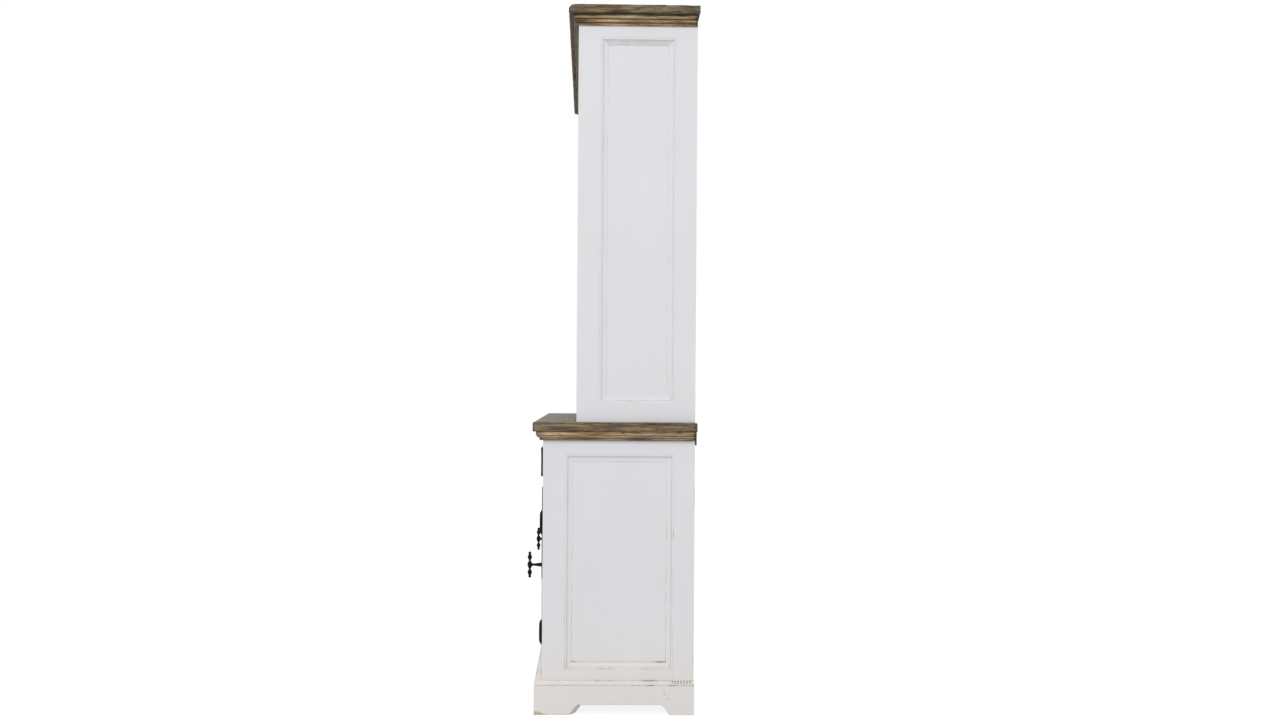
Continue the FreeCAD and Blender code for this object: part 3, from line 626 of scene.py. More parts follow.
def frame_boards(low, high, wide, stiles, rails, **last_stile):
    """Two stiles and two rails between two corners. wide names the axis from stile to stile."""
    axis = AXES[wide]
    first_end, last_start = high.copy(), low.copy()
    first_end[axis] = low[axis] + stiles[0]
    last_start[axis] = high[axis] - stiles[1]
    boards = [board(low, first_end, "z"), board(last_start, high, "z", **last_stile)]
    for levels in ((low[2], low[2] + rails[0]), (high[2] - rails[1], high[2])):
        start, end = low.copy(), high.copy()
        start[axis] += stiles[0] - SUNK
        end[axis] -= stiles[1] - SUNK
        start[2], end[2] = levels
        boards.append(board(start, end, wide, buried=(wide + "0", wide + "1")))
    return boards


hutch_side = {"dusty": 0.2, "dirt_reach": 1.2}
PANEL_LOOKS = {"base": ({"worn": 0.7, "corner_worn": 1.2}, {}, {}, {}),
               "hutch": ({}, hutch_side, {"dusty": 0.55}, hutch_side)}
BACK_KNOCK = (622.0, 690.0)
BACK_ARRIS = 255.0
KNOCK_WEAR = 3.0


def back_edge_wear(flat, near):
    """A stretch of the back arris, at the height of a hand, that has lost 3 mm of paint."""
    in_stretch = (flat[:, 2] > BACK_KNOCK[0]) & (flat[:, 2] < BACK_KNOCK[1])
    return KNOCK_WEAR * in_stretch * (flat[:, 1] > BACK_ARRIS)


for stem, rails in RAILS.items():
    low, high = box_mm(stem + "_side_frame_right")
    panel_low, panel_high = box_mm(stem + "_side_panel_right")
    boards = frame_boards(low, high, "y", (STILE_FRONT, STILE_BACK), rails,
                          extra={"z": np.linspace(*BACK_KNOCK, 5)}, wear=back_edge_wear)
    panel = [board(panel_low, panel_high, "z", soft=0.6, step=45.0)]
    moulding = inside_frame(section(panel_shares, MOULDING_WIDTH, MOULDING_HEIGHT),
                            (panel_high[0], low[1] + STILE_FRONT, low[2] + rails[0]),
                            (0, 1, 0), (0, 0, 1), (1, 0, 0),
                            high[1] - low[1] - STILE_FRONT - STILE_BACK,
                            high[2] - low[2] - sum(rails), PANEL_LOOKS[stem])
    for side, change in SIDES.items():
        make_piece(stem + "_end_frame_" + side, change(boards), stem + "_side_frame_" + side)
        make_piece(stem + "_end_panel_" + side, change(panel), stem + "_side_panel_" + side)
    make_piece(stem + "_end_mouldings", moulding + mirrored(moulding), stem + "_side_mouldings")

# %% [markdown]
# The face frame is the front of the base: four stiles and nine rails that leave openings for the
# drawers, the doors and the open bay. The outer stiles are notched for the hinge barrels. A notch
# could be a Boolean cut, but moving the grid is cleaner: between the notch's two ends, the points
# near the arris slide onto a quarter of a circle round the hinge's axis.
# %% Hinge notches
HINGE_AXIS_IN = 1.5
HINGE_LENGTH = 76.0
NOTCH_RADIUS = 7.1
NOTCH_PLAY = 0.6
STEP_LINE = 0.02

door_low, door_high = box_mm("door_right_frame")
hinge_x = door_high[0] + HINGE_AXIS_IN
hinge_y = door_low[1]
half_length = HINGE_LENGTH / 2
hinge_centres = [box_mm("hinge_pin_halves")[0][2] + half_length,
                 box_mm("door_right_hinge_halves")[1][2] - half_length]
notch_ends = [(centre - half_length - NOTCH_PLAY, centre + half_length + NOTCH_PLAY)
              for centre in hinge_centres]


def notch_warp(arris_x, arris_y, into_x):
    """Slides the points near an arris onto a circle round the hinge axis, at each notch.

    front and side are how far the circle reaches along the board's face and along its edge.
    """
    gap_x, gap_y = abs(arris_x - hinge_x), abs(arris_y - hinge_y)
    front = math.sqrt(NOTCH_RADIUS ** 2 - gap_y ** 2) - gap_x
    side = math.sqrt(NOTCH_RADIUS ** 2 - gap_x ** 2) - gap_y
    first = math.atan2(gap_y, gap_x + front)
    last = math.atan2(gap_y + side, gap_x)

    def warp(points, flat, near):
        across = (flat[:, 0] - arris_x) * into_x
        deep = flat[:, 1] - arris_y
        on_face = (deep < TOUCH) & (across < front + TOUCH)
        on_edge = (across < TOUCH) & (deep < side + TOUCH)
        share = (np.where(on_face, -across, deep) + front) / (front + side)
        angle = first + (last - first) * share
        inside = np.zeros(len(points), bool)
        for low, high in notch_ends:
            inside |= (flat[:, 2] > low) & (flat[:, 2] < high)
        inside &= on_face | on_edge
        moved = points.copy()
        moved[inside, 0] = hinge_x + into_x * NOTCH_RADIUS * np.cos(angle[inside])
        moved[inside, 1] = hinge_y + NOTCH_RADIUS * np.sin(angle[inside])
        return moved

    levels = [end + shift for ends in notch_ends for end in ends
              for shift in (-STEP_LINE, STEP_LINE)]
    return warp, {"x": [arris_x + into_x * front, arris_x + into_x * front / 2],
                  "y": [arris_y + side, arris_y + side / 2], "z": levels}


print("hinge axis", round(hinge_x, 1), round(hinge_y, 1), "centres", np.round(hinge_centres, 1))

# %% Face frame
FACE_STILE = 28.0
CENTRE_STILE = 45.0
FRONT_GAP = 2.0
stile_low, stile_high = box_mm("base_face_stiles")
drawer_low, drawer_high = box_mm("drawer_right_front")
side_edge = stile_high[0] - FACE_STILE
bay_edge = drawer_low[0] - FRONT_GAP
centre_edge = bay_edge - CENTRE_STILE
notched, notched_extra = notch_warp(side_edge, stile_low[1], 1)
stiles = [board((side_edge, *stile_low[1:]), stile_high, "z", warp=notched, extra=notched_extra,
                buried=("x1", "z0", "z1")),
          board((centre_edge, *stile_low[1:]), (bay_edge, *stile_high[1:]), "z",
                buried=("z0", "z1"))]
make_piece("face_stiles", stiles + mirrored(stiles), "base_face_stiles")
rails = []
for low_z, high_z in [(stile_low[2], door_low[2] - FRONT_GAP),
                      (door_high[2] + FRONT_GAP, drawer_low[2] - FRONT_GAP),
                      (drawer_high[2] + FRONT_GAP, stile_high[2])]:
    for low_x, high_x in ((bay_edge, side_edge), (-centre_edge, centre_edge)):
        rails.append(board((low_x - SUNK, stile_low[1], low_z),
                           (high_x + SUNK, stile_high[1], high_z), "x", buried=("x0", "x1")))
make_piece("face_rails", rails + mirrored(rails[0::2]), "base_face_rails")

# %% [markdown]
# Inside the base stand two partitions on a floor, with a shelf in each cupboard and in the open
# bay. They are plain boards, but they show whenever a door opens, so they get the same soft edges
# and finishes as the front. Their places come straight from the CAD nodes.
# %% Inside the base
for node in ("base_floor", "partition_left", "partition_right", "centre_shelf",
             "cupboard_shelf_left", "cupboard_shelf_right", "hutch_top_board"):
    along = "z" if node.startswith("partition") else "x"
    slot = "bare_pine" if node.startswith("cupboard") else "painted_pine"
    make_piece(node + "_board", [board(*box_mm(node), along)], node, slot=slot)

part_low, part_high = box_mm("partition_right")
low, high = box_mm("drawer_dividers")
dividers = [board((part_high[0], *low[1:]), high, "x"),
            board((-part_low[0], *low[1:]), (part_low[0], *high[1:]), "x")]
make_piece("divider_boards", dividers + mirrored(dividers[:1]), "drawer_dividers",
           slot="bare_pine")

CLEAT_WIDTH, CLEAT_HEIGHT, CLEAT_SETBACK = 18.0, 20.0, 12.0
inner_half, inner_back = box_mm("base_floor")[1][:2]
hutch_shelves = ["hutch_shelf_" + name for name in ("low", "middle", "high")]
cleats = []
for node, x, way in [("cupboard_shelf_right", part_high[0], 1),
                     ("cupboard_shelf_right", inner_half, -1), ("centre_shelf", part_low[0], -1),
                     *[(shelf, inner_half, -1) for shelf in hutch_shelves]]:
    low, high = box_mm(node)
    cleats.append(board((x, low[1] + CLEAT_SETBACK, low[2] - CLEAT_HEIGHT),
                        (x + way * CLEAT_WIDTH, inner_back - CLEAT_SETBACK, low[2]), "y",
                        soft=0.8))
make_piece("cleats", cleats + mirrored(cleats), "shelf_cleats")

# %% [markdown]
# Both backs are walls of ten upright planks nailed side by side. Tongues keep the light out, so
# each plank laps a little into the next, and their softened arrises leave a shadow line.
# %% Plank backs
PLANKS = 10
PLANK_GAP = 0.6
PLANK_LAP = 0.6
for node in ("hutch_back_boards", "base_back_boards"):
    low, high = box_mm(node)
    pitch = (high[0] - low[0] + PLANK_GAP) / PLANKS
    starts = low[0] + np.arange(PLANKS) * pitch
    wall = [board((start, *low[1:]), (min(start + pitch + PLANK_LAP, high[0]), *high[1:]), "z",
                  soft=1.8, step=90.0) for start in starts]
    make_piece(node.replace("boards", "planks"), wall, node)

# %% [markdown]
# The hutch's shelves carry plates stood on edge, so each has a groove near its back that stops
# their feet from sliding. The header over the opening is cut to a low arch. The arch is part of a
# circle that rises 34 mm, and the points of the board's lower edge are lifted onto it.
# %% Hutch shelves, stiles and header
GROOVE_WIDTH, GROOVE_DEPTH, GROOVE_FROM_BACK = 8.0, 3.0, 45.0
for node in hutch_shelves:
    low, high = box_mm(node)
    groove_back = high[1] - GROOVE_FROM_BACK
    groove_front = groove_back - GROOVE_WIDTH

    def grooved(points, flat, near):
        """Sinks the top face between the groove's two edges."""
        sunk = points.copy()
        inside = (flat[:, 1] > groove_front) & (flat[:, 1] < groove_back)
        sunk[inside & (flat[:, 2] > high[2] - TOUCH), 2] -= GROOVE_DEPTH
        return sunk

    lines = [edge + shift for edge in (groove_front, groove_back)
             for shift in (-STEP_LINE, STEP_LINE)]
    shelf = board(low, high, "x", extra={"y": lines}, warp=grooved, buried=("x0", "x1"))
    make_piece(node.replace("shelf", "shelf_board"), [shelf], node)

HUTCH_STILE = 28.0
ARCH_RISE, ARCH_INSET = 34.0, 60.0
low, high = box_mm("hutch_face_stiles")
stile = board((high[0] - HUTCH_STILE, *low[1:]), high, "z", buried=("x1", "z0", "z1"))
make_piece("hutch_stiles", [stile] + mirrored([stile]), "hutch_face_stiles")
low, high = box_mm("hutch_header")
arch_half = high[0] - ARCH_INSET
arch_radius = (arch_half ** 2 + ARCH_RISE ** 2) / (2 * ARCH_RISE)


def arched(points, flat, near):
    """Lifts the lower edge onto the arch, and what is above it in proportion."""
    rise = np.sqrt(np.maximum(arch_radius ** 2 - flat[:, 0] ** 2, 0)) - arch_radius + ARCH_RISE
    share = (high[2] - points[:, 2]) / (high[2] - low[2])
    moved = points.copy()
    moved[:, 2] += np.maximum(rise, 0) * share
    return moved


header = board((low[0] - SUNK, *low[1:]), (high[0] + SUNK, *high[1:]), "x", step=24.0,
               buried=("x0", "x1", "z1"), warp=arched)
make_piece("hutch_arched_header", [header], "hutch_header")

# %% [markdown]
# The base stands on a bracket plinth: three boards, mitred at the front corners and cut away
# between the feet, under a cap whose hollow sheds the dust. Something has nicked the right cap's
# slope near the back, in a row. The cut-out's ends are a soft S, half straight slope and half
# smooth step. The bottom edge of each board is lifted onto that curve.
# %% Plinth
CUT_HEIGHT, CUT_RUN = 31.0, 29.0
FRONT_FOOT, BACK_FOOT, CORNER_FOOT = 106.0, 73.0, 150.0
cap_shares = [[(1.0, 0.0)], [(1.0, 0.16)], [(0.60, 0.42), (0.22, 1.0)], [(0.0, 1.0)]]


def cut_away(axis, first, last, top, mitre):
    """Lifts the bottom edge between two feet, and cuts the ends to a mitre."""
    def warp(points, flat, near):
        place = flat[:, AXES[axis]]
        run = np.clip(np.minimum(place - first, last - place) / CUT_RUN, 0, 1)
        rise = CUT_HEIGHT * (0.5 * run + 0.5 * run * run * (3 - 2 * run))
        moved = points.copy()
        moved[:, 2] += rise * (top - points[:, 2]) / top
        return mitre(moved)
    return warp


def run_lines(first, last):
    """Grid lines over both slopes of a cut-out."""
    slope = np.linspace(0, CUT_RUN, 11)
    return np.concatenate([first + slope, last - slope])


low, high = box_mm("plinth_front")
case_half = box_mm("base_side_frame_right")[1][0]
thickness = high[0] - case_half


def front_mitre(points):
    """Cuts both ends of the front board at 45 degrees."""
    deep = points[:, 1] - low[1]
    points[:, 0] *= (high[0] - deep) / high[0]
    return points


first, last = low[0] + CORNER_FOOT, high[0] - CORNER_FOOT
plinth_front = board(low, high, "x", buried=("x0", "x1", "z1", "y1"),
                     extra={"x": run_lines(first, last)},
                     warp=cut_away("x", first, last, high[2], front_mitre))
make_piece("plinth_board_front", [plinth_front], "plinth_front")

side_low, side_high = box_mm("plinth_right")


def side_mitre(points):
    """Cuts the front end of the side board at 45 degrees."""
    reach = side_high[1] - side_low[1]
    deep = side_high[0] - points[:, 0]
    points[:, 1] = side_high[1] - (side_high[1] - points[:, 1]) * (reach - deep) / reach
    return points


first, last = side_low[1] + FRONT_FOOT, side_high[1] - BACK_FOOT
KNOCKS = np.array([(171.0, 57.0), (184.0, 48.0)])
KNOCK_RADIUS, KNOCK_DEPTH, KNOCK_DIRT_DEPTH = 3.8, 1.6, 0.6
SCUFF_HEIGHT, SCUFF_RUN, SCUFF_WEAR = 22.0, 52.0, 0.9
ring_lines = np.linspace(-KNOCK_RADIUS, KNOCK_RADIUS, 5)
cut_side = cut_away("y", first, last, side_high[2], side_mitre)


def from_knock(points):
    """Distance of each point from the nearest knock, seen from the side."""
    return np.linalg.norm(points[:, None, 1:] - KNOCKS[None], axis=2).min(axis=1)


def knocked(points, flat, near):
    """The cut-out, and the two knocks sunk into the outer face as round hollows."""
    moved = cut_side(points, flat, near)
    nearness = fading(from_knock(flat), KNOCK_RADIUS) * (flat[:, 0] > side_high[0] - TOUCH)
    moved[:, 0] -= KNOCK_DEPTH * nearness ** 0.7
    return moved


def scuffed(flat, near):
    """Extra rubbing: shoes have scuffed a round patch of the front foot to its undercoat.

    It is full over the inner half of the patch and fades over the outer half.
    """
    away = np.hypot((flat[:, 1] - side_low[1]) / SCUFF_RUN, flat[:, 2] / SCUFF_HEIGHT)
    return np.clip(2.0 - 2.0 * away, 0, 1) * (np.sort(near, axis=1)[:, 1] + SCUFF_WEAR)


side_lines = {
    "y": np.concatenate([run_lines(first, last), *(KNOCKS[:, :1] + ring_lines),
                         side_low[1] + np.arange(8.0, 60.0, 8.0)]),
    "z": np.concatenate([*(KNOCKS[:, 1:] + ring_lines), np.arange(8.0, 26.0, 4.0)]),
}
plinth_side = board(side_low, side_high, "y", buried=("y0", "z1", "x0"), step=30.0,
                    extra=side_lines, warp=knocked, wear=scuffed)
dented = side_high[0] - plinth_side["points"][:, 0] > KNOCK_DIRT_DEPTH
near_knock = from_knock(plinth_side["points"]) < 3 * KNOCK_RADIUS
plinth_side["grime"] = np.where(dented & near_knock, 1.0, 0.0)
make_piece("plinth_board_right", [plinth_side], "plinth_right")
make_piece("plinth_board_left", mirrored([plinth_side]), "plinth_left")

CHIPS = (196.0, 258.0)
CHIP_FROM, CHIP_TO = 3.5, 11.0
CHIP_PITCH, CHIP_SHARPNESS, CHIP_DEPTH = 9.2, 1.6, 0.9
CHIP_WEAR, CHIP_DARK_SHARE = 3.5, 0.4
CHIP_LINES = np.arange(6.0, 78.0, 1.5)
cap_low, cap_high = box_mm("plinth_cap")
cap = round_case(section(cap_shares, thickness, cap_high[2] - cap_low[2]), low[1] + thickness,
                 cap_low[2], case_half, cap_high[1], worn=0.7, dusty=0.25,
                 extra=cap_high[1] - low[1] - thickness - CHIP_LINES)
right_cap = cap[1]
place = right_cap["points"]
in_row = (place[:, 1] > CHIPS[0]) & (place[:, 1] < CHIPS[1])
in_row &= (place[:, 2] > cap_low[2] + CHIP_FROM) & (place[:, 2] < cap_low[2] + CHIP_TO)
chip_wave = np.sin(place[:, 1] * 2 * math.pi / CHIP_PITCH)
chip = np.clip(chip_wave * CHIP_SHARPNESS, 0, 1) * in_row
place[:, 0] -= CHIP_DEPTH * chip
right_cap["worn"] = right_cap["worn"] + CHIP_WEAR * chip
right_cap["grime"] = np.maximum(right_cap["grime"], chip)
right_cap["tone"] = 1.0 - CHIP_DARK_SHARE * chip
make_piece("plinth_cap_moulding", cap, "plinth_cap")

# %% [markdown]
# The counter and the crown are thick reclaimed boards: planks across the width, held flat by a
# board across each end, whose grain runs from front to back. That is why the ends of the cabinet
# show long grain and no end grain. A hundred years of knocks have eaten their arrises: near an
# edge, points move inwards by an amount that changes along it, with a few deep bites.
# %% Counter and crown boards
END_BOARD = 96.0
TOP_PLANKS = 4
SEAM, SEAM_LINE = 1.4, 0.1
SAWN_END, SAWN_TONE = 4.5, 0.5
TOP_BITE, BITE_REACH = 2.4, 10.0
SLOW_BITES, QUICK_BITES = (190.0, 83.0, 41.0), (27.0, 17.0, 11.0)
ROUNDED_REACH, ROUNDED_WAY = 16.0, np.array([0.0, 0.7, -0.7])
PLANK_STEP, END_STEP = np.array([0.83, 0.41, 0.29]), np.array([0.0, 0.9, 0.4])
TONE_SPREAD_SHARE = 0.1


def chewed(low, high, amount, seed):
    """Moves points near an arris inwards by waves, whose high powers leave a few deep bites."""
    def warp(points, flat, near):
        close = fading(near, BITE_REACH)
        arris = np.sort(close, axis=1)[:, 1]
        slow = 0.5 + 0.5 * waves(flat, SLOW_BITES, seed)
        quick = 0.5 + 0.5 * waves(flat, QUICK_BITES, seed + 1)
        bite = amount * (0.12 + slow ** 4 + 0.5 * slow * quick ** 3)
        inwards = -np.sign(flat - (low + high) / 2) * close
        return points + inwards * (arris * bite)[:, None]
    return warp


def top_board(node, seed, rounded, end_tone, under_tone, under_reach):
    """Planks between two end boards, in one mesh: the seams are fine grooves on the top face.

    rounded is how far the front top arris is worn back, in mm.
    The planks differ in tone by up to a tenth. end_tone is that of the two end boards, and
    under_tone the share of either that is left underneath, up to under_reach in mm. The end
    boards show their sawn ends at the front, which have soaked up more stain.
    """
    low, high = box_mm(node)
    joint = high[0] - END_BOARD
    seams = np.linspace(low[1], high[1], TOP_PLANKS + 1)[1:-1]
    warp_edges = chewed(low, high, TOP_BITE, seed)

    def warp(points, flat, near):
        moved = warp_edges(points, flat, near)
        from_arris = flat[:, 1] - low[1] + high[2] - flat[:, 2]
        moved += (rounded * fading(from_arris, ROUNDED_REACH) ** 1.5)[:, None] * ROUNDED_WAY
        between = np.abs(flat[:, 0]) < joint
        gap = np.abs(np.abs(flat[:, 0]) - joint)
        for seam in seams:
            gap = np.minimum(gap, np.where(between, np.abs(flat[:, 1] - seam), FAR))
        inwards = np.sign((low[2] + high[2]) / 2 - flat[:, 2]) * SEAM * (gap < SEAM_LINE)
        moved[:, 2] += np.where(near[:, 2] < TOUCH, inwards, 0)
        return moved

    shifts = (-SEAM, 0, SEAM)
    lines = {"x": [way * (joint + shift) for way in (-1, 1) for shift in shifts],
             "y": [seam + shift for seam in seams for shift in shifts]}
    part = board(low, high, "x", soft=3.0, step=9.0, extra=lines, warp=warp, rough=0.5)
    flat = part["points"]
    end = np.abs(flat[:, 0]) > joint - SEAM_LINE
    turned = grain_place(flat, "y", seed) + END_STEP * np.sign(flat[:, :1])
    number = np.searchsorted(seams, flat[:, 1])
    part["grain"] = np.where(end[:, None], turned, part["grain"] + number[:, None] * PLANK_STEP)
    chance = np.random.default_rng(seed)
    tones = 1.0 + chance.uniform(-TONE_SPREAD_SHARE, TONE_SPREAD_SHARE, TOP_PLANKS)
    part["tone"] = np.where(end, end_tone, tones[number])
    part["tone"][flat[:, 2] < low[2] + under_reach] *= under_tone
    part["tone"][end & (flat[:, 1] < low[1] + SAWN_END)] *= SAWN_TONE
    return part


for stem, looks in [("counter", (5, 0.5, 0.76, 0.5, 2.5)), ("crown", (23, 8.0, 0.80, 0.5, 1.0))]:
    make_piece(stem + "_planks", [top_board(stem + "_board", *looks)], stem + "_board",
               slot="weathered_oak")

# %% [markdown]
# A stepped moulding carries each of these boards and hides the joint with the painted case. Its
# lips and hollows are what the light draws as thin lines from a distance. The crown's lower faces
# in front never see the light from above, and have stayed dark, as have the sawn ends at the wall,
# the foot of each moulding and the part that stands out in front of the case.
# %% Counter and crown mouldings, back batten
counter_shares = [[(0.44, 0.0)], [(0.50, 0.05)], [(0.50, 0.27)], [(0.58, 0.31)],
                  [(0.80, 0.40), (0.92, 0.58)], [(1.0, 0.64)], [(1.0, 1.0)], [(0.0, 1.0)]]
crown_shares = [[(0.26, 0.0)], [(0.42, 0.11), (0.30, 0.24)], [(0.30, 0.29)], [(0.48, 0.32)],
                [(0.64, 0.45), (0.52, 0.58)], [(0.52, 0.62)], [(0.84, 0.66)],
                [(1.0, 0.80), (0.86, 0.93)], [(0.86, 1.0)], [(0.0, 1.0)]]
fronts = {"counter": box_mm("base_side_frame_right")[0][1],
          "crown": box_mm("hutch_side_frame_right")[0][1]}
RETURN_TONE = 0.72
BATTEN_TONE = 0.36
# Section, tones in front and underneath, tone of the ends, reach of dirt, foot's height and tone.
lip_looks = {"counter": (counter_shares, (0.9, 0.7), 1.05, 2.6, (3.5, 0.42)),
             "crown": (crown_shares, (0.8, 0.2), 1.2, 4.0, (8.0, 0.75))}
for stem, (shares, front_tones, end_tone, dirt_reach, foot) in lip_looks.items():
    low, high = box_mm(stem + "_moulding")
    outline = section(shares, high[0] - case_half, high[2] - low[2])
    lips = round_case(outline, fronts[stem], low[2], case_half, high[1], front_tones, end_tone,
                      dirt_reach=dirt_reach)
    for lip in lips:
        lip["tone"] = lip["tone"] * np.where(lip["points"][:, 2] < low[2] + foot[0], foot[1], 1)
    for end_lip in lips[1:]:
        place = end_lip["points"][:, 1]
        toned = end_lip["tone"] * np.where(place < fronts[stem], RETURN_TONE, 1)
        end_lip["tone"] = np.where(place > high[1] - SAWN_END, SAWN_TONE, toned)
    make_piece(stem + "_lip_moulding", lips, stem + "_moulding", slot="weathered_oak",
               finish="golden_oak")
batten = board(*box_mm("back_batten"), "x", soft=1.0, tone=BATTEN_TONE)
batten["grime"][:] = 1.0
make_piece("back_rail", [batten], "back_batten", slot="weathered_oak")

# %% [markdown]
# Each door is a small version of the framed ends, proud of the face frame so that it shows a
# shadow all round. The outer stile is notched for the hinge barrels like the face frame, and its
# hanging edge has rubbed bare against the frame, most of all from the pull's height up.
# %% Doors
DOOR_STILE, DOOR_RAIL = 57.0, 58.0
DOOR_MOULDING_WIDTH, DOOR_MOULDING_HEIGHT = 18.0, 8.0
RUB_FROM, RUB_RISE, RUB_MOST, RUB_REACH = 405.0, 12.0, 5.0, 4.0
RUB_DIRT, RUB_DARK_SHARE = 1.6, 0.85
door_notched, door_extra = notch_warp(door_high[0], door_low[1], -1)


def hanging_edge_wear(flat, near):
    """Rubbing in mm along the outer arris, above the pull's height."""
    near_edge = fading(door_high[0] - flat[:, 0], RUB_REACH)
    return RUB_MOST * near_edge * np.clip((flat[:, 2] - RUB_FROM) / RUB_RISE, 0, 1)


door_extra["z"] = [*door_extra["z"], *np.linspace(RUB_FROM, RUB_FROM + RUB_RISE, 3)]
door_boards = frame_boards(door_low, door_high, "x", (DOOR_STILE, DOOR_STILE),
                           (DOOR_RAIL, DOOR_RAIL), warp=door_notched, extra=door_extra,
                           wear=hanging_edge_wear)
hanging_stile = door_boards[1]
rubbed = hanging_stile["worn"] / RUB_MOST
hanging_stile["grime"] = RUB_DIRT * rubbed
hanging_stile["tone"] = 1.0 - RUB_DARK_SHARE * rubbed
panel_low, panel_high = box_mm("door_right_panel")
door_panel = [board(panel_low, panel_high, "z", soft=0.6, step=45.0)]
door_moulding = inside_frame(section(panel_shares, DOOR_MOULDING_WIDTH, DOOR_MOULDING_HEIGHT),
                             (door_low[0] + DOOR_STILE, panel_low[1], door_low[2] + DOOR_RAIL),
                             (1, 0, 0), (0, 0, 1), (0, -1, 0),
                             door_high[0] - door_low[0] - 2 * DOOR_STILE,
                             door_high[2] - door_low[2] - 2 * DOOR_RAIL)
for side, change in SIDES.items():
    stem = "door_" + side
    make_piece(stem + "_boards", change(door_boards), stem + "_frame", body=stem)
    make_piece(stem + "_field", change(door_panel), stem + "_panel", body=stem)
    make_piece(stem + "_beading", change(door_moulding), stem + "_moulding", body=stem)

# %% [markdown]
# A turned or forged round piece is an outline of radius against height, carried round an axis.
# The pull's bar has no outline drawn point by point: its radius is the soft maximum of a thin rod
# and five beads, each half an ellipse, so that they melt into the rod as hammered iron does. A
# high power mean gives that: the larger value wins, and near a tie both add. The stem is thinnest
# near the bar and opens like a trumpet both ways, into the knob and on to the door.
# %% Round pieces and the T-pulls
def lathe(heights, radii, origin, axis, side, sectors=28):
    """Carries an outline round an axis: out = cos * side + sin * (axis x side), at each height."""
    axis, side = np.asarray(axis, float), np.asarray(side, float)
    angle = np.arange(sectors) * 2 * math.pi / sectors
    ring = np.cos(angle)[:, None] * side + np.sin(angle)[:, None] * np.cross(axis, side)
    points = (np.asarray(origin, float) + heights[:, None, None] * axis
              + radii[:, None, None] * ring[None])
    return make_part(points, *tube(len(heights), sectors),
                     grain_place(points, "z", next(board_numbers)))


PULL_HEIGHT = 88.0
KNOB, BEAD, TIP, NECK = 8.0, 7.4, 5.0, 3.6
KNOB_HALF, BEAD_HALF = 13.0, 9.5
BEAD_PLACE = 25.5
ROSE, ROSE_THICKNESS, WAIST, WAIST_FROM_BAR = 7.9, 2.4, 3.5, 13.0
MELT = 6
LEAST_RADIUS = 0.05
STEM_STOPS_SHORT = 1.5


def bead(heights, place, radius, half):
    """Radius at each height of an ellipse that is twice half high, and 0 beyond its ends."""
    return radius * np.sqrt(np.maximum(1 - ((heights - place) / half) ** 2, 0))


def soft_maximum(*values):
    """The sixth root of the sum of sixth powers: the larger value, with a soft change between."""
    return sum(np.maximum(value, 0) ** MELT for value in values) ** (1 / MELT)


pull_low, pull_high = box_mm("door_right_pull")
bar_x, _, bar_z = (pull_low + pull_high) / 2
bar_y = pull_low[1] + KNOB
reach = pull_high[1] - bar_y
heights = PULL_HEIGHT / 2 * np.sin(np.linspace(-math.pi / 2, math.pi / 2, 121))
tip_place = PULL_HEIGHT / 2 - TIP
rod = np.where(np.abs(heights) < tip_place, NECK, 0.0)
radii = soft_maximum(rod, *[bead(heights, *shape) for shape in [
    (0, KNOB, KNOB_HALF), (BEAD_PLACE, BEAD, BEAD_HALF), (-BEAD_PLACE, BEAD, BEAD_HALF),
    (tip_place, TIP, TIP), (-tip_place, TIP, TIP)]])
bar = lathe(heights, np.clip(radii, LEAST_RADIUS, KNOB), (bar_x, bar_y, bar_z), (0, 0, 1), (1, 0, 0))
along = np.unique([*np.linspace(0, reach, 44), ROSE_THICKNESS, ROSE_THICKNESS + 0.4])
waist_place = reach - WAIST_FROM_BAR
to_door = np.clip((waist_place - along) / waist_place, 0, 1)
to_bar = np.clip((along - waist_place) / WAIST_FROM_BAR, 0, 1)
stem_radii = WAIST + (ROSE - WAIST) * to_door ** 0.8 + (KNOB + 0.5 - WAIST) * to_bar ** 1.2
stem_radii[along <= ROSE_THICKNESS] = ROSE
kept_part = along < reach - STEM_STOPS_SHORT
stem = lathe(along[kept_part], stem_radii[kept_part], (bar_x, pull_high[1], bar_z), (0, -1, 0),
             (1, 0, 0))
for side, change in SIDES.items():
    door = "door_" + side
    make_piece(door + "_forged_pull", change([bar, stem]), door + "_pull", slot="forged_iron",
               body=door)

# %% [markdown]
# An olive hinge is named for its barrel. The lower half and its pin are screwed to the cabinet, the
# upper half has a bore and lifts off with the door. Each half swells from a small ball at its tip
# to the full barrel at the joint: part of an ellipse that ends in a flat shoulder, on which the
# ball stands, never thinner than a neck of 1.5 mm.
# %% Olive hinges
BARREL, BARREL_END, HINGE_GAP = 6.5, 5.2, 0.4
FINIAL, FINIAL_LENGTH, FINIAL_NECK, FINIAL_TIP = 3.4, 6.0, 1.5, 0.6
LEAF_THICKNESS, LEAF_DEPTH, LEAF_INSET = 2.4, 19.0, 5.0


def hinge_half(centre, way):
    """One olive half and its leaf. way is 1 for the upper half, on the door."""
    ball = half_length - FINIAL_LENGTH
    body = np.linspace(HINGE_GAP / 2, ball, 24)
    share = (body - body[0]) / (body[-1] - body[0])
    swell = BARREL_END + (BARREL - BARREL_END) * np.sqrt(1 - share ** 2)
    tip = np.linspace(ball, half_length, 11)
    button = np.maximum(bead(tip, half_length - FINIAL_LENGTH / 2, FINIAL, FINIAL), FINIAL_NECK)
    button[-1] = FINIAL_TIP
    olive = lathe(np.concatenate([body, tip]) * way, np.concatenate([swell, button]),
                  (hinge_x, hinge_y, centre), (0, 0, 1), (1, 0, 0))
    edge = hinge_x - way * HINGE_AXIS_IN
    leaf = board((edge, hinge_y, centre + way * LEAF_INSET),
                 (edge + way * LEAF_THICKNESS, hinge_y + LEAF_DEPTH,
                  centre + way * (ball - LEAF_INSET)), "z", soft=0.5, step=20.0, rough=0.0)
    return [olive, leaf]


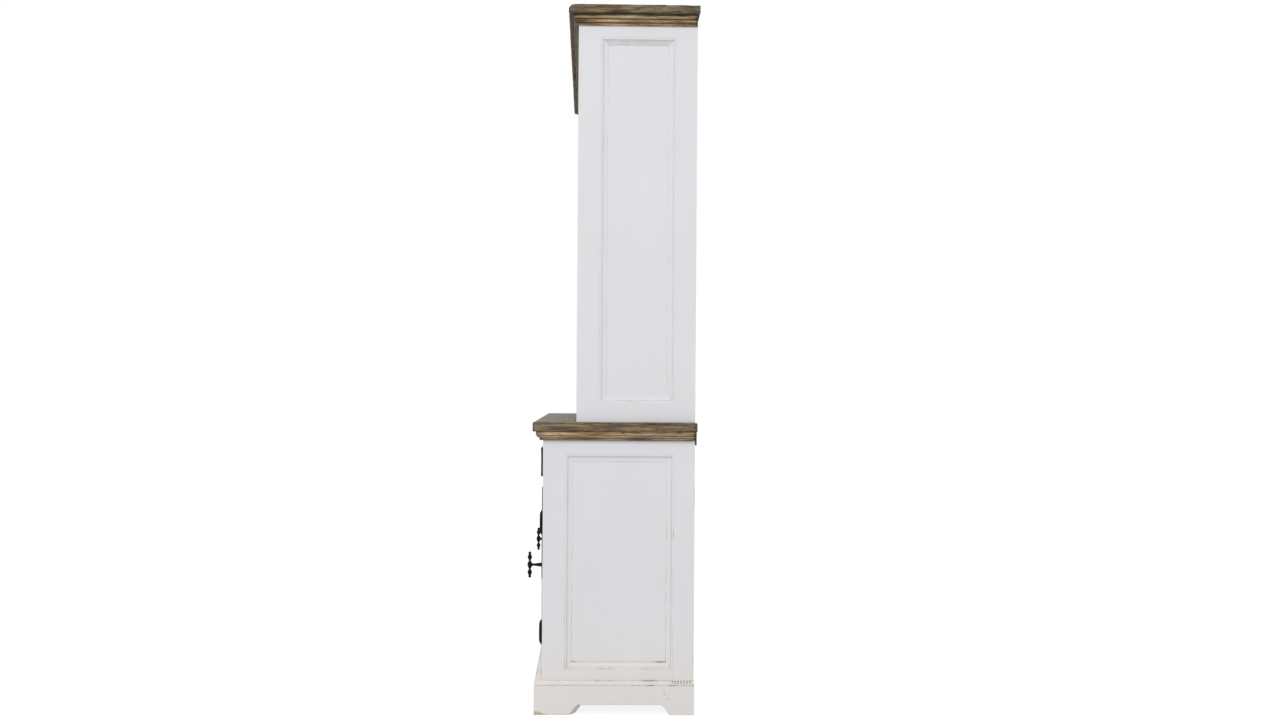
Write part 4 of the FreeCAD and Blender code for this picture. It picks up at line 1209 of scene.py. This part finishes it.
fixed, moving = [[part for centre in hinge_centres for part in hinge_half(centre, way)]
                 for way in (-1, 1)]
make_piece("hinge_lower_halves", fixed + mirrored(fixed), "hinge_pin_halves", slot="forged_iron")
for side, change in SIDES.items():
    door = "door_" + side
    make_piece(door + "_hinge_upper", change(moving), door + "_hinge_halves", slot="forged_iron",
               body=door)

# %% [markdown]
# Nails and screws are what a furniture maker looks for on the back. Each plank has two nails at
# every board behind it, and the counter's and crown's planks are nailed down near their ends.
# There are 140 nails, so each head is a low dome of few faces: a lathe outline again, set on the
# face by an origin and an axis.
# %% Nails and screws
NAIL_RADIUS, NAIL_RISE = 3.4, 0.9
SCREW_RADIUS, SCREW_RISE = 4.2, 1.4
NAIL_FROM_END = 16.0
PLANK_NAIL_SHARES, TOP_NAIL_SHARES, SCREW_SHARES = (0.22, 0.78), (0.25, 0.75), (0.42, 0.80)
CROWN_NAIL_SHARE = 0.4
DOME_SECTORS = 9
rise_shares = np.array([-1.5, 0.0, 0.55, 0.95, 1.0])
radius_shares = np.array([1.0, 1.0, 0.75, 0.3, 0.04])


def dome(origin, axis, radius, rise):
    """A low dome of five rings: a short shank under the face, then rounded over to its top."""
    side = np.roll(np.abs(np.asarray(axis, float)), 1)
    return lathe(rise_shares * rise, radius_shares * radius, origin, axis, side, DOME_SECTORS)


nails = []
for node, behind in (("hutch_back_boards", hutch_shelves + ["hutch_top_board"]),
                     ("base_back_boards", ["base_floor", "centre_shelf"])):
    low, high = box_mm(node)
    pitch = (high[0] - low[0] + PLANK_GAP) / PLANKS
    for level in behind:
        level_z = np.mean([corner[2] for corner in box_mm(level)])
        for number in range(PLANKS):
            for share in PLANK_NAIL_SHARES:
                place = (low[0] + (number + share) * pitch, high[1], level_z)
                nails.append(dome(place, (0, 1, 0), NAIL_RADIUS, NAIL_RISE))
for node, last_y, rise in (("counter_board", fronts["crown"], NAIL_RISE),
                           ("crown_board", FAR, CROWN_NAIL_SHARE * NAIL_RISE)):
    low, high = box_mm(node)
    plank_width = (high[1] - low[1]) / TOP_PLANKS
    nail_x = high[0] - END_BOARD - NAIL_FROM_END
    for number in range(TOP_PLANKS):
        for share in TOP_NAIL_SHARES:
            y = low[1] + (number + share) * plank_width
            if y < last_y:
                for x in (nail_x, -nail_x):
                    nails.append(dome((x, y, high[2]), (0, 0, 1), NAIL_RADIUS, rise))
make_piece("nail_heads", nails, slot="forged_iron")

BRACKET_WIDTH, BRACKET_THICKNESS = 24.0, 3.0
low, high = box_mm("hutch_brackets")
screw_x = high[0] - BRACKET_WIDTH / 2
screws = []
for share in SCREW_SHARES:
    upright = (screw_x, high[1] - BRACKET_THICKNESS, low[2] + (high[2] - low[2]) * share)
    level = (screw_x, high[1] - (high[1] - low[1]) * share, low[2] + BRACKET_THICKNESS)
    screws += [dome(upright, (0, -1, 0), SCREW_RADIUS, SCREW_RISE),
               dome(level, (0, 0, 1), SCREW_RADIUS, SCREW_RISE)]
make_piece("bracket_screws", screws + mirrored(screws), slot="forged_iron")

# %% [markdown]
# The drawers have no handles. A half-moon scoop in the top edge of each front takes the fingers,
# and a raised border frames it. The grid does both: the top edge is lowered by a circle's arc,
# fading out below, and the field is pushed back where a point is over 13 mm from the nearest edge.
# Hands that grip the ends have worn the border hollow there, and left its corners proud.
# %% Drawers
BORDER, FIELD_DEPTH, FIELD_SLOPE = 13.0, 2.5, 3.0
SCOOP_WIDTH, SCOOP_DEPTH = 92.0, 22.0
SCOOP_FADE_FROM, SCOOP_FADE_SHORT = 20.0, 38.0
HOLLOW, HOLLOW_FROM, HOLLOW_SLOPE = 1.8, 12.0, 8.0
SIDE_THICKNESS, BOTTOM_THICKNESS, BOTTOM_RISE = 12.0, 6.0, 8.0
DRAWER_BITE = 0.7
DRAWER_DIRT_REACH, DRAWER_DIRT_SHARE, DRAWER_DARK_SHARE = 3.0, 0.8, 0.4
scoop_radius = ((SCOOP_WIDTH / 2) ** 2 + SCOOP_DEPTH ** 2) / (2 * SCOOP_DEPTH)
for name in ("left", "centre", "right"):
    body = "drawer_" + name
    low, high = box_mm(body + "_front")
    middle = (low[0] + high[0]) / 2
    wear = chewed(low, high, DRAWER_BITE, 40 + len(name))

    def carved(points, flat, near):
        """The raised border, the hollows at its ends and the scoop."""
        moved = wear(points, flat, near)
        sink = np.clip((np.minimum(near[:, 0], near[:, 2]) - BORDER) / FIELD_SLOPE, 0, 1)
        on_front = (near[:, 1] < TOUCH) & (flat[:, 1] < low[1] + 1)
        moved[:, 1] += FIELD_DEPTH * sink * on_front
        inside = np.clip((near[:, 2] - HOLLOW_FROM) / HOLLOW_SLOPE, 0, 1)
        gripped = fading(near[:, 0], BORDER) * inside
        moved[:, 1] += HOLLOW * gripped * (flat[:, 1] < low[1] + 4)
        arc = np.sqrt(np.maximum(scoop_radius ** 2 - (flat[:, 0] - middle) ** 2, 0))
        dip = np.maximum(arc - scoop_radius + SCOOP_DEPTH, 0)
        fade = (flat[:, 2] - low[2] - SCOOP_FADE_FROM) / (high[2] - low[2] - SCOOP_FADE_SHORT)
        moved[:, 2] -= dip * np.clip(fade, 0, 1)
        return moved

    insets = np.array([BORDER, BORDER + FIELD_SLOPE])
    lines = {"x": np.concatenate([low[0] + insets, high[0] - insets,
                                  middle + np.linspace(-1, 1, 31) * SCOOP_WIDTH / 2]),
             "z": np.concatenate([low[2] + insets, high[2] - insets])}
    front = board(low, high, "x", soft=1.0, step=14.0, extra=lines, warp=carved, rough=0.2)
    front["grain"] = grain_place(front["points"], "x", 60 + len(name))
    place = front["points"][:, 0]
    at_end = fading(np.minimum(place - low[0], high[0] - place), DRAWER_DIRT_REACH)
    front["grime"] = at_end * DRAWER_DIRT_SHARE
    front["tone"] = 1.0 - DRAWER_DARK_SHARE * at_end
    make_piece(body + "_scooped_front", [front], body + "_front", slot="weathered_oak", body=body)
    low, high = box_mm(body + "_box")
    inner_low, inner_high = low[0] + SIDE_THICKNESS, high[0] - SIDE_THICKNESS
    rise = low[2] + BOTTOM_RISE
    back = high[1] - SIDE_THICKNESS
    walls = [board(low, (inner_low, *high[1:]), "y", soft=0.8),
             board((inner_high, *low[1:]), high, "y", soft=0.8),
             board((inner_low, back, low[2]), (inner_high, *high[1:]), "x", soft=0.8),
             board((inner_low, low[1], rise), (inner_high, back, rise + BOTTOM_THICKNESS), "x",
                   soft=0.4)]
    make_piece(body + "_box_boards", walls, body + "_box", slot="bare_pine", body=body)

# %% [markdown]
# A few CAD boards are hidden or plain, and their shape is already right: guides, stretchers, the
# plinth's back board, door stops and the iron angles that tie the hutch to the counter. They stay
# as they are and only get their finish.
# %% CAD pieces that stay
kept = {"drawer_guides": "bare_pine_cad", "top_stretchers": "bare_pine_cad",
        "plinth_back": "bare_pine_cad", "door_stops": "bare_pine_cad",
        "hutch_brackets": "forged_iron"}
for node, finish in kept.items():
    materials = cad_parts[node].data.materials
    materials.clear()
    materials.append(finishes[finish])
print("CAD pieces kept", [name for name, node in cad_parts.items() if not node.hide_render])

# %% [markdown]
# The cabinet stands on a plain pale floor in soft light from all round, a little stronger from
# above the camera, and a weak lamp in front reaches into the shelves. To the camera the floor and
# the air are white, as in a catalogue picture, while the light on the wood stays at its plain
# level. The floor glows and reflects just enough for white: a brighter floor would eat into thin
# dark shapes such as the pulls.
# %% Floor, light and air
FLOOR_REACH = 30.0
FLOOR_GLOW = 0.88
LIGHT_LEVEL = 0.78
WHITE = colour("#FFFFFF")
floor_data = bpy.data.meshes.new("floor")
floor_data.from_pydata([(x * FLOOR_REACH, y * FLOOR_REACH, 0)
                        for x, y in ((-1, -1), (1, -1), (1, 1), (-1, 1))], [], [(0, 1, 2, 3)])
floor = show("floor", floor_data)
floor_finish, add, shade = new_finish("pale studio floor")
rays = [add("LightPath", output=kind) for kind in ("Is Camera Ray", "Is Glossy Ray")]
seen = add("Math", rays, operation="MAXIMUM")
pale = add("Mix", [seen, colour("#DCDCDC"), colour("#7C7C7C")], data_type="RGBA")
glow = add("Math", [seen, FLOOR_GLOW], operation="MULTIPLY")
shade({"Base Color": pale, "Emission Color": WHITE, "Emission Strength": glow, "Roughness": 0.9,
       "Specular IOR Level": 0.0})
floor_data.materials.append(floor_finish)

world = bpy.data.worlds.new("air")
bpy.context.scene.world = world
world.use_nodes = True
tree = world.node_tree
add = partial(add_node, tree)
camera_ray, glossy_ray, clear_ray = [
    add("LightPath", output=kind) for kind in ("Is Camera Ray", "Is Glossy Ray",
                                               "Is Transmission Ray")]
seen = add("Math", [camera_ray, glossy_ray], operation="MAXIMUM")
seen_all = add("Math", [seen, clear_ray], operation="MAXIMUM")
strength = add("MapRange", [seen_all, 0.0, 1.0, LIGHT_LEVEL, 1.0])
fill(tree, tree.nodes["Background"].inputs, {"Color": WHITE, "Strength": strength})


def soft_light(name, place, target, size, power):
    """A large square lamp at a place, turned towards a target."""
    data = bpy.data.lights.new(name, "AREA")
    data.size = size
    data.energy = power
    lamp = show(name, data)
    lamp.location = place
    direction = Vector(target) - Vector(place)
    lamp.rotation_euler = direction.to_track_quat("-Z", "Y").to_euler()


soft_light("high lamp", (9.6, -1.4, 6.6), (0.3, 0.0, 1.0), 7.0, 395)
soft_light("front lamp", (-2.2, -9.0, 2.6), (0.0, 0.0, 1.1), 5.0, 130)
print("light level", LIGHT_LEVEL)
